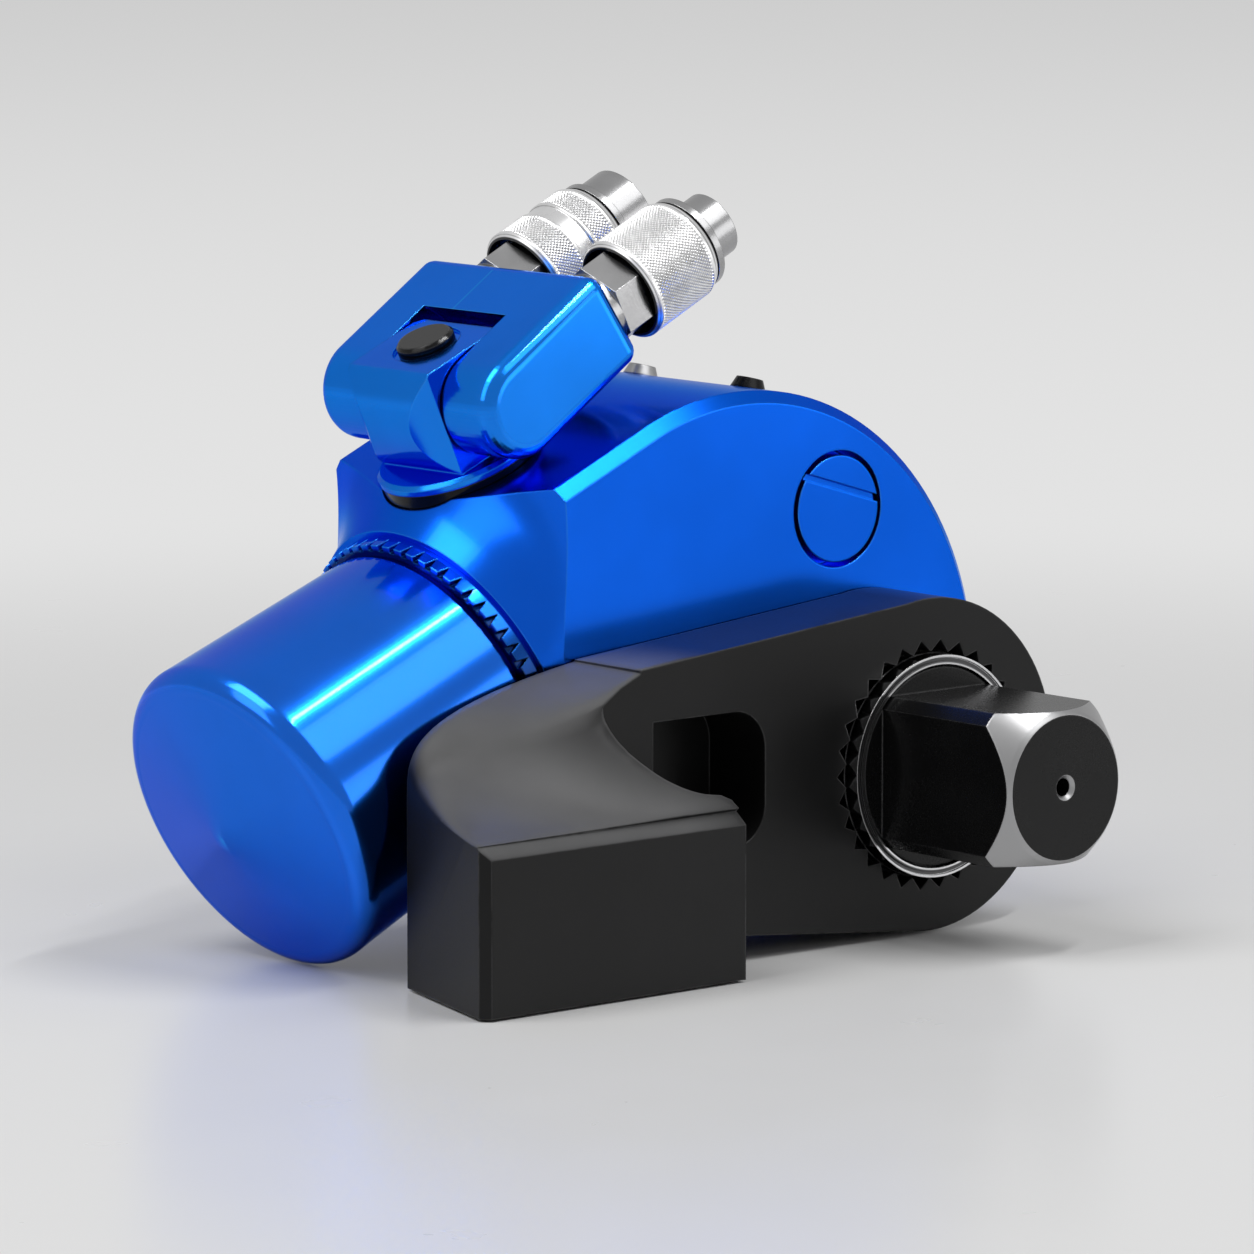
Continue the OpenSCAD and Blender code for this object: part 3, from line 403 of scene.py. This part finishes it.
def anodised(name, blue, rough, coat, turned=None, detail=None):
    """Blue anodised metal; turned gives a point and an axis for faint lathe lines.

    detail takes the finish, its colour and its height, and gives back the last two.
    """
    made = Finish(name, Metallic=1.0, Specular_Tint=ANODISED_TINT, Coat_Roughness=0.05, Coat_IOR=1.4)
    soft = made.rounded(ANODISED_EDGE)
    edge = made.edges(soft)
    mottle = made.place.noise(22.0, 4.0)
    grain = made.place.noise(2600.0, 2.0)
    colour = mottle.smooth(0.3, 0.75).mix(shade(blue, 0.94), shade(blue, 1.06))
    # Edges painted a lighter blue: a painted highlight along every rounded edge
    colour = (edge * 0.6).mix(colour, EDGE_HIGHLIGHT_BLUE)
    height = grain * 0.3
    if turned:
        height = height + made.lathe(*turned, 2.2) * 0.5
    if detail:
        colour, height = detail(made, colour, height)
    made.set(Base_Color=colour, Coat_Weight=coat + mottle * 0.04 - edge * 0.04)
    made.set(Roughness=rough + mottle * 0.06 + grain * 0.03)
    made.set(Normal=height.bump(0.00002, 0.2, soft))
    return made.material


class WRENCH_OT_anodise_body(bpy.types.Operator):
    """Blue anodised housing, cylinder cap, lock ring and plug"""

    bl_idname = "wrench.anodise_body"
    bl_label = "Anodise the body"

    def execute(self, context):
        cylinder = (centre("cylinder_cap"), CYLINDER_AXIS)
        rim = reach("cap_lock_ring", *cylinder)[2]

        def notches(made, colour, height):
            """Painted shade in the notches round the lock ring."""
            radius = made.around(*cylinder)[2]
            notch_shade_mask = 1.0 - radius.smooth(rim - NOTCH_DEPTH[0], rim - NOTCH_DEPTH[1])
            return (notch_shade_mask * 0.9).mix(colour, NOTCH_SHADE), height

        body_blue = finishes().body_blue
        cap_blue = finishes().cap_blue
        wear(["housing", "crank_pin_plug"], anodised("blue_anodised_body", body_blue, 0.16, 0.06))
        wear(["cylinder_cap"], anodised("blue_anodised_cap", cap_blue, 0.12, 0.4, cylinder))
        wear(["cap_lock_ring"], anodised("blue_anodised_ring", cap_blue, 0.14, 0.2, cylinder, notches))
        return {"FINISHED"}


class WRENCH_OT_anodise_swivel(bpy.types.Operator):
    """Blue anodised swivel block and hose manifold"""

    bl_idname = "wrench.anodise_swivel"
    bl_label = "Anodise the swivel"

    def execute(self, context):
        lean = math.atan2(COUPLER_AXIS.z, COUPLER_AXIS.x) + COUPLER_DROP
        up = Vector((-math.sin(lean), 0, math.cos(lean)))
        front = Vector((-math.cos(lean), 0, -math.sin(lean)))
        middle = centre("manifold").y

        def parting(made, colour, height):
            """Parting line on the manifold's top, and painted shade on the back wall of its slot."""
            across = made.place.dot(DRIVE_AXIS) - middle
            line = made.facing(up).smooth(0.97, 0.99) * across.band(*PARTING_LINE, 0.00008)
            # Back wall of the slot darkened: painted shade
            slot = made.facing(front).smooth(0.5, 0.8) * across.band(-SLOT_HALF, SLOT_HALF, 0.0002)
            colour = (line * 0.7).mix(colour, PARTING_BLUE)
            return (slot * 0.95).mix(colour, SLOT_SHADE), height - line * 4.0

        blue = finishes().swivel_blue
        wear(["swivel_block"], anodised("blue_anodised_block", blue, 0.12, 0.2))
        wear(["manifold"], anodised("blue_anodised_manifold", blue, 0.12, 0.2, None, parting))
        return {"FINISHED"}


def blackened(name, rough, turned=None, metallic=0.0, bare=None, top_highlight=None):
    """Black oxide on steel, with paler edges that are part rubbed wear and part painted highlight; turned
    gives a point and an axis for lathe lines.

    bare takes the finish, and the last argument takes it and its normal. They give masks of bare metal and
    of faces that get a painted highlight and a broader rounding.
    """
    black = finishes().coat_black
    made = Finish(name, IOR=1.3)
    soft = made.rounded(BLACKENED_EDGE)
    cloud = made.place.noise(34.0, 5.0)
    grain = made.place.noise(1500.0, 3.0)
    # Paler edges in patches: part rubbed wear, part a painted highlight along the edges
    rub_and_highlight = (made.edges(soft) * made.place.noise(160.0, 3.0).smooth(0.25, 0.6)).clamp()
    colour = cloud.smooth(0.3, 0.75).mix(shade(black, 0.8), shade(black, 1.3))
    colour = (rub_and_highlight * 0.6).mix(colour, RUBBED_AND_HIGHLIGHT_GREY)
    height = grain
    if turned:
        height = height * 0.4 + made.lathe(*turned, 2.0, DRIVE_LINES)
    if bare:
        mask = bare(made)
        colour = mask.mix(colour, BARE_STEEL)
        metallic = mask * (1.0 - metallic) + metallic
        rough = mask * (0.26 - rough) + rough
    if top_highlight:
        # Up-facing faces of the foot painted paler: a painted highlight; they also get a broader rounding
        mask = top_highlight(made, soft)
        colour = (mask * (0.6 + cloud * 0.5)).clamp().mix(colour, FOOT_HIGHLIGHT_GREY)
        soft = soft.towards(made.rounded(SWEEP_EDGE, 8), mask.smooth(0.0, 0.4))
    made.set(Base_Color=colour, Metallic=metallic)
    made.set(Roughness=rough + cloud * 0.08 + grain * 0.06 - rub_and_highlight * 0.1)
    made.set(Normal=height.bump(0.00002, 0.3, soft))
    return made.material


def smooth_mesh(node, crease):
    """Copy of a node's mesh, shaded smoothly over all edges blunter than the crease angle."""
    mesh = NODES[node].data.copy()
    work = bmesh.new()
    work.from_mesh(mesh)
    bmesh.ops.remove_doubles(work, verts=work.verts, dist=0.000001)
    for face in work.faces:
        face.smooth = True
    for edge in work.edges:
        edge.smooth = len(edge.link_faces) == 2 and edge.calc_face_angle() < crease
    work.to_mesh(mesh)
    work.free()
    return mesh


class WRENCH_OT_blacken_arm(bpy.types.Operator):
    """Black oxide on the reaction arm"""

    bl_idname = "wrench.blacken_arm"
    bl_label = "Blacken the arm"

    @staticmethod
    def foot_highlight(made, soft):
        """The swept upper faces of the foot, which get a painted highlight and a broader rounding."""
        return soft.dot((0, 0, 1)).smooth(0.2, 0.8) * made.place.dot((-1, 0, 0)).smooth(*FOOT_START)

    def execute(self, context):
        black = blackened("black_oxide_arm", 0.36, top_highlight=self.foot_highlight)
        sweep = smooth_mesh("reaction_arm", ARM_CREASE)
        stand_in("swept_reaction_arm", sweep, black, "reaction_arm", "reaction_arm")
        return {"FINISHED"}


class WRENCH_OT_blacken_drive(bpy.types.Operator):
    """Black oxide on the square drive, the far retainer, the splines, the swivel's screw and the plugs"""

    bl_idname = "wrench.blacken_drive"
    bl_label = "Blacken the drive"

    @staticmethod
    def turned_corners(made):
        """The cone that the square's corners are turned to at its tip."""
        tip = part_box("square_drive")[0][1]
        shank = made.place.dot(DRIVE_AXIS).smooth(tip + TIP_LENGTH[0], tip + TIP_LENGTH[1])
        return made.facing(-DRIVE_AXIS).band(0.12, 0.96, 0.02) * (1.0 - shank)

    @staticmethod
    def far_plug(made):
        """The far one of the two plugs on the nose."""
        middle = centre("top_plugs").y
        return made.place.dot(DRIVE_AXIS).smooth(middle, middle + 0.001)

    def execute(self, context):
        drive = (ORIGIN, DRIVE_AXIS)
        wear(["square_drive"], blackened("black_oxide_square", 0.2, drive, 0.1, self.turned_corners))
        wear(["drive_retainer", "retainer_button"], blackened("black_oxide_retainer", 0.24, drive, 0.3))
        wear(["reaction_sleeve"], blackened("dark_steel_splines", 0.2, None, 0.8))
        wear(["swivel_screw", "swivel_gland_ring"], blackened("black_oxide_screw", 0.1, None, 0.1))
        wear(["top_plugs"], blackened("black_oxide_plugs", 0.2, None, 0.3, self.far_plug))
        return {"FINISHED"}


def plated(name, colour, rough, turned=None):
    """Bright plated steel; turned gives a point and an axis for lathe lines."""
    made = Finish(name, Metallic=1.0)
    smear = made.place.noise(60.0, 4.0)
    tone = smear.smooth(0.3, 0.7).mix(shade(colour, 0.92), shade(colour, 1.06))
    height = made.place.noise(1500.0, 2.0) * 0.05
    if turned:
        height = height + made.lathe(*turned, 2.0) * 0.08
    made.set(Base_Color=tone, Roughness=rough + smear * 0.08)
    made.set(Normal=height.bump(0.0004, 0.8, made.rounded(PLATED_EDGE)))
    return made.material


def knurled(name, point, rim):
    """Plated steel with dirt and painted shade in the knurl's grooves, and painted shade inside, below the
    rim.
    """
    colour = finishes().plate_grey
    groove = rim - finishes().knurl_depth
    spread = 0.0001
    made = Finish(name)
    radius = made.around(point, COUPLER_AXIS)[2]
    smear = made.place.noise(70.0, 4.0)
    patches = made.place.noise(420.0, 3.0).smooth(0.2, 0.7) * 0.5 + 0.5
    # Knurl valleys darkened in patches: part dirt, part painted shade
    dirt_and_shade = radius.band(groove - spread, groove + spread, 0.00006) * patches
    # Painted shade inside the sleeve and on its end faces, below the rim; this part is not metal
    inside = 1.0 - radius.smooth(rim - SLEEVE_WALL[0], rim - SLEEVE_WALL[1])
    tone = smear.smooth(0.3, 0.7).mix(shade(colour, 0.92), shade(colour, 1.06))
    tone = (dirt_and_shade * 0.8).mix(tone, shade(colour, 0.3))
    made.set(Base_Color=inside.mix(tone, SLEEVE_SHADE), Metallic=1.0 - inside)
    made.set(Roughness=0.24 + smear * 0.08 + dirt_and_shade * 0.12)
    made.set(Normal=smear.bump(0.00002, 0.6, made.rounded(KNURL_EDGE)))
    return made.material


def turned_start(node, axis):
    """Point on a turned node's own axis, at its low end."""
    flush = 0.00002
    corners = [vertex.co for vertex in NODES[node].data.vertices]
    low = min(corner.dot(axis) for corner in corners)
    end = {tuple(round(c, 7) for c in corner) for corner in corners if corner.dot(axis) < low + flush}
    return sum((Vector(corner) for corner in end), Vector()) / len(end)


def turned_profile(node, point, axis):
    """Closed outline of a turned node, as places along and off its axis: up the outside, down the bore."""
    grid = 0.00005
    chamfer = 0.0012
    rim = reach(node, point, axis)[2]
    places = set()
    for vertex in NODES[node].data.vertices:
        offset = vertex.co - point
        along = offset.dot(axis)
        off = (offset - axis * along).length
        places.add((round(along / grid) * grid, round(off / grid) * grid))
    outside = sorted(place for place in places if place[1] > rim - chamfer)
    bore = {}
    for along, off in places.difference(outside):
        bore.setdefault(along, []).append(off)
    inside = []
    for along in sorted(bore, reverse=True):
        last = inside[-1][1] if inside else min(bore[along])
        inside += [(along, off) for off in sorted(bore[along], key=lambda off: abs(off - last))]
    return outside + inside


def knurl_rows(profile, rim, half_pitch):
    """The profile as rows of (along, off, cut), with a knurl on the straight runs at its rim.

    A knurl fills the run between two plain lips with a whole number of half pitches.
    """
    flush = 0.0001
    rows = []
    for (along, off), (end, end_off) in zip(profile, profile[1:] + profile[:1]):
        rows.append((along, off, False))
        length = abs(end - along) - 2 * KNURL_LIP
        if min(off, end_off) > rim - flush and length > 4 * half_pitch:
            count = round(length / half_pitch)
            rows += [(along + KNURL_LIP + length * k / count, off, 0 < k < count)
                     for k in range(count + 1)]
    return rows


def knurl_mesh(name, rows, point, axis, count, depth):
    """Closed mesh turned from rows; every other corner of a cut row is sunk, which leaves diamonds."""
    side = axis.orthogonal().normalized()
    other = axis.cross(side)
    steps = 2 * count
    turns = [math.pi * k / count for k in range(steps)]
    spokes = [side * math.cos(turn) + other * math.sin(turn) for turn in turns]
    work = bmesh.new()
    rings = []
    for j, (along, off, cut) in enumerate(rows):
        radii = [off - depth if cut and (i + j) % 2 == 0 else off for i in range(steps)]
        rings.append([work.verts.new(point + axis * along + spoke * radius)
                      for spoke, radius in zip(spokes, radii)])
    for j, ring in enumerate(rings):
        following = (j + 1) % len(rings)
        cut = rows[j][2] or rows[following][2]
        for i in range(steps):
            right = (i + 1) % steps
            a, b, c, d = ring[i], ring[right], rings[following][right], rings[following][i]
            if not cut:
                work.faces.new((a, b, c, d))
            elif (i + j) % 2 == 0:
                work.faces.new((a, b, c))
                work.faces.new((a, c, d))
            else:
                work.faces.new((a, b, d))
                work.faces.new((b, c, d))
    bmesh.ops.recalc_face_normals(work, faces=work.faces)
    mesh = bpy.data.meshes.new(name)
    work.to_mesh(mesh)
    work.free()
    return mesh


def knurled_sleeve(name, node):
    """Turned sleeve in the place of a node, with a diamond knurl cut into its outside."""
    count = finishes().knurl_count
    point = turned_start(node, COUPLER_AXIS)
    rim = reach(node, point, COUPLER_AXIS)[2]
    half_pitch = math.pi * rim / count / KNURL_SLANT
    rows = knurl_rows(turned_profile(node, point, COUPLER_AXIS), rim, half_pitch)
    mesh = knurl_mesh(name, rows, point, COUPLER_AXIS, count, finishes().knurl_depth)
    return stand_in(name, mesh, knurled(name + "_plate", point, rim), node, node)


class WRENCH_OT_plate_couplers(bpy.types.Operator):
    """Plated hose couplers with knurled sleeves"""

    bl_idname = "wrench.plate_couplers"
    bl_label = "Plate the couplers"

    def execute(self, context):
        grey = finishes().hex_grey
        knurled_sleeve("knurled_female_sleeve", "female_sleeve")
        knurled_sleeve("knurled_male_collar", "male_collar")
        for adapter in ("female_adapter", "male_adapter"):
            wear([adapter], plated("plated_" + adapter, grey, 0.22, (centre(adapter), COUPLER_AXIS)))
        wear(["port_washers", "tilt_pins"], plated("plated_washers", grey, 0.2))
        return {"FINISHED"}


class WRENCH_OT_chrome_ring(bpy.types.Operator):
    """Bright retaining ring round the drive"""

    bl_idname = "wrench.chrome_ring"
    bl_label = "Chrome the ring"

    def execute(self, context):
        rim = reach("retaining_ring", ORIGIN, DRIVE_AXIS)[2]
        bore = min(math.hypot(v.co.x, v.co.z) for v in NODES["retaining_ring"].data.vertices)
        width = rim - bore
        made = Finish("chrome_ring", Metallic=1.0)
        turn, along, radius = made.around(ORIGIN, DRIVE_AXIS)
        # Middle band of the ring's face: bumped in as a shallow groove and painted dark as a painted
        # reflection, leaving bright rims
        groove = radius.band(bore + width * 0.2, rim - width * 0.3, width * 0.06)
        places = {0: along * LATHE_LINES, 1: radius * RING_LINES, 2: turn * 3.0}
        scuff = made.start.node("ShaderNodeCombineXYZ", {}, places).noise(1.6, 3.0)
        bright = scuff.smooth(0.3, 0.7).mix(RING_DULL, RING_BRIGHT)
        made.set(Base_Color=(groove * 0.92).mix(bright, GROOVE_REFLECTION_DARK))
        made.set(Roughness=0.1 + scuff * 0.08 + groove * 0.1)
        made.set(Normal=(scuff - groove).bump(0.00003, 0.5, made.rounded(RING_EDGE)))
        wear(["retaining_ring"], made.material)
        return {"FINISHED"}


def pressed_spring(name, node, body, joint, material):
    """Copy of a spring in the place of a node, riding on a body."""
    spare = 0.0003
    slide = JOINTS[joint]
    axis = Vector(slide["axis"]).normalized()
    middle = centre(node)
    low, high = reach(node, middle, axis)[:2]
    made = stand_in(name, NODES[node].data.copy(), material, node, body)
    tuple(middle + axis * high)
    1 - (slide["range_m"][1] + spare) / (high - low)
    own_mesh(made)
    return made


class WRENCH_OT_finish_inside(bpy.types.Operator):
    """Ground steel, bronze, springs and seals inside the housing"""

    bl_idname = "wrench.finish_inside"
    bl_label = "Finish the inside"

    @staticmethod
    def rubber(black):
        """Black rubber with a pale bloom."""
        made = Finish("seal_rubber", IOR=1.5)
        bloom = made.place.noise(90.0, 4.0)
        made.set(Base_Color=bloom.smooth(0.35, 0.8).mix(shade(black, 1.0), shade(black, 2.2)))
        made.set(Roughness=0.55 + bloom * 0.25)
        made.set(Normal=made.place.noise(1100.0, 3.0).bump(0.00004, 0.5))
        return made.material

    def execute(self, context):
        settings = finishes()
        steel = plated("ground_steel", settings.ground_grey, 0.3)
        wear(["rod_gland", "holding_pawl", "drive_lever", "crank_pin", "drive_pawl", "ratchet_wheel",
              "piston", "piston_rod", "rod_end"], steel)
        wire = plated("spring_wire", settings.ground_grey, 0.36)
        wear(["holding_pawl_springs", "drive_pawl_springs"], wire)
        pressed_spring("pressed_sleeve_spring", "female_sleeve_spring", "manifold",
                       "female_sleeve_pull", wire)
        pressed_spring("pressed_retainer_spring", "retainer_spring", "ratchet",
                       "retainer_button_press", wire)
        wear(["front_bush", "rear_bush"], plated("bearing_bronze", settings.bush_bronze, 0.28))
        wear(["cap_seal", "rod_seal", "piston_seal", "swivel_seal"], self.rubber(settings.seal_black))
        return {"FINISHED"}


def round_floor(name, radius, middle):
    """Wide round floor, with rings that close up towards its middle."""
    steps = 64
    shares = (0.02, 0.06, 0.2, 0.5, 1.0)
    turns = [2 * math.pi * k / steps for k in range(steps)]
    spokes = [Vector((math.cos(turn), math.sin(turn), 0)) for turn in turns]
    work = bmesh.new()
    rings = [[work.verts.new(middle + spoke * radius * share) for spoke in spokes] for share in shares]
    work.faces.new(rings[0])
    for inner, outer in zip(rings, rings[1:]):
        for k in range(steps):
            after = (k + 1) % steps
            work.faces.new((inner[k], outer[k], outer[after], inner[after]))
    bmesh.ops.recalc_face_normals(work, faces=work.faces)
    mesh = bpy.data.meshes.new(name)
    work.to_mesh(mesh)
    work.free()
    return placed(name, mesh)


def softbox(name, place, aim, size, power):
    """Rectangular lamp that points at a place."""
    lamp = bpy.data.lights.new(name, "AREA")
    lamp.shape = "RECTANGLE"
    lamp.size, lamp.size_y = size
    lamp.energy = power * stage_settings().lamp_share
    made = placed(name, lamp)
    made.location = place
    made.rotation_euler = (Vector(aim) - Vector(place)).to_track_quat("-Z", "Y").to_euler()
    made.visible_camera = False
    return made


def looked_at(start):
    """1 for rays from the camera, off gloss and through glass, and 0 for those that light a surface."""
    camera, glossy, through = (start.node("ShaderNodeLightPath", output=f"Is {kind} Ray")
                               for kind in ("Camera", "Glossy", "Transmission"))
    return (camera + glossy + through).clamp()


class WRENCH_OT_set_stage(bpy.types.Operator):
    """Camera, pale floor that fades into the room, and soft lamps"""

    bl_idname = "wrench.set_stage"
    bl_label = "Set the stage"

    @staticmethod
    def camera(scene, settings):
        """Camera at the photograph's place."""
        lens = bpy.data.cameras.new("photo_camera")
        lens.lens = settings.lens
        lens.sensor_width = 36.0
        lens.clip_end = 50.0
        made = placed("photo_camera", lens)
        made.location = settings.camera_place
        made.rotation_euler = Vector(settings.camera_aim).to_track_quat("-Z", "Y").to_euler()
        scene.camera = made

    @staticmethod
    def floor(settings):
        """Pale floor that takes shadows near the tool and fades into the even tone of the room."""
        clearance = 0.0003
        radius = 20.0
        fade = (0.25, 0.85)
        near_lift = 0.19
        far_drop = 0.16
        drop_run = (0.6, 4.4)
        middle = Vector((-0.05, 0.05, FLOOR - clearance))
        grey = (settings.floor_grey,) * 3
        made = Finish("pale_floor", IOR=1.33)
        made.set(Base_Color=made.place.noise(1.4, 2.0).mix(shade(grey, 1.0), shade(grey, 1.03)))
        made.set(Roughness=0.26 + made.place.noise(40.0, 3.0) * 0.05)
        away = made.around(middle, Vector((0, 0, 1)))[2]
        tone = settings.room_grey + near_lift - away.smooth(*drop_run) * far_drop
        glow = {"Color": looked_at(made.start) * tone, "Strength": 1.0}
        room = made.start.node("ShaderNodeEmission", {}, glow)
        faded = {0: away.smooth(*fade), 1: made.lit, 2: room}
        made.show(made.start.node("ShaderNodeMixShader", {}, faded))
        sheet = round_floor("floor", radius, middle)
        sheet.data.materials.append(made.material)

    @staticmethod
    def lamps():
        """Soft lamps above the tool, and one low on its right."""
        aim = (-0.06, 0.05, 0.04)
        level_aim = (-0.06, 0.05, 0.24)
        softbox("top_left_softbox", (-0.85, 0.2, 1.45), aim, (0.9, 0.9), 12.0)
        softbox("left_softbox", (-1.6, 0.25, 0.9), aim, (0.8, 0.9), 4.0)
        softbox("front_softbox", (0.33, -0.85, 1.16), aim, (0.9, 0.62), 3.6)
        softbox("high_strip", (0.22, -0.45, 1.53), aim, (0.9, 0.05), 7.5)
        softbox("right_softbox", (0.62, -0.75, 0.24), level_aim, (0.7, 0.44), 1.5)

    @staticmethod
    def world(scene, settings):
        """Even pale room for the camera and for reflections, and a low fill on everything else."""
        scene.world = bpy.data.worlds.new("studio_air")
        scene.world.use_nodes = True
        tree = scene.world.node_tree
        level = looked_at(Wire(tree)) * (settings.room_grey - settings.fill) + settings.fill
        air = tree.nodes["Background"]
        tree.links.new(level.socket, air.inputs["Color"])
        air.inputs["Strength"].default_value = 1.0

    def execute(self, context):
        settings = stage_settings()
        scene = context.scene
        scene.view_settings.view_transform = "Standard"
        self.camera(scene, settings)
        self.floor(settings)
        self.lamps()
        self.world(scene, settings)
        return {"FINISHED"}


class WRENCH_PT_panel(bpy.types.Panel):
    """Lists the finishes and the stage"""

    bl_label = "Torque wrench"
    bl_idname = "WRENCH_PT_panel"
    bl_space_type = "VIEW_3D"
    bl_region_type = "UI"
    bl_category = "Torque wrench"

    def draw(self, context):
        layout = self.layout
        for group in (finishes(), stage_settings()):
            for name in group.__annotations__:
                layout.prop(group, name)
        for operator in OPERATORS:
            layout.operator(operator.bl_idname)


OPERATORS = (
    WRENCH_OT_anodise_body,
    WRENCH_OT_anodise_swivel,
    WRENCH_OT_blacken_arm,
    WRENCH_OT_blacken_drive,
    WRENCH_OT_plate_couplers,
    WRENCH_OT_chrome_ring,
    WRENCH_OT_finish_inside,
    WRENCH_OT_set_stage,
)
CLASSES = (TorqueWrenchFinishes, TorqueWrenchStage) + OPERATORS + (WRENCH_PT_panel,)


def register():
    """Registers the classes and gives the scene its settings."""
    for made in CLASSES:
        bpy.utils.register_class(made)
    bpy.types.Scene.torque_wrench_finishes = bpy.props.PointerProperty(type=TorqueWrenchFinishes)
    bpy.types.Scene.torque_wrench_stage = bpy.props.PointerProperty(type=TorqueWrenchStage)


def unregister():
    """Takes the settings and the classes away again."""
    del bpy.types.Scene.torque_wrench_stage
    del bpy.types.Scene.torque_wrench_finishes
    for made in reversed(CLASSES):
        bpy.utils.unregister_class(made)


def main():
    """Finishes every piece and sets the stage."""
    register()
    bpy.ops.wrench.anodise_body()
    bpy.ops.wrench.anodise_swivel()
    bpy.ops.wrench.blacken_arm()
    bpy.ops.wrench.blacken_drive()
    bpy.ops.wrench.plate_couplers()
    bpy.ops.wrench.chrome_ring()
    bpy.ops.wrench.finish_inside()
    bpy.ops.wrench.set_stage()


if __name__ == "__main__":
    main()
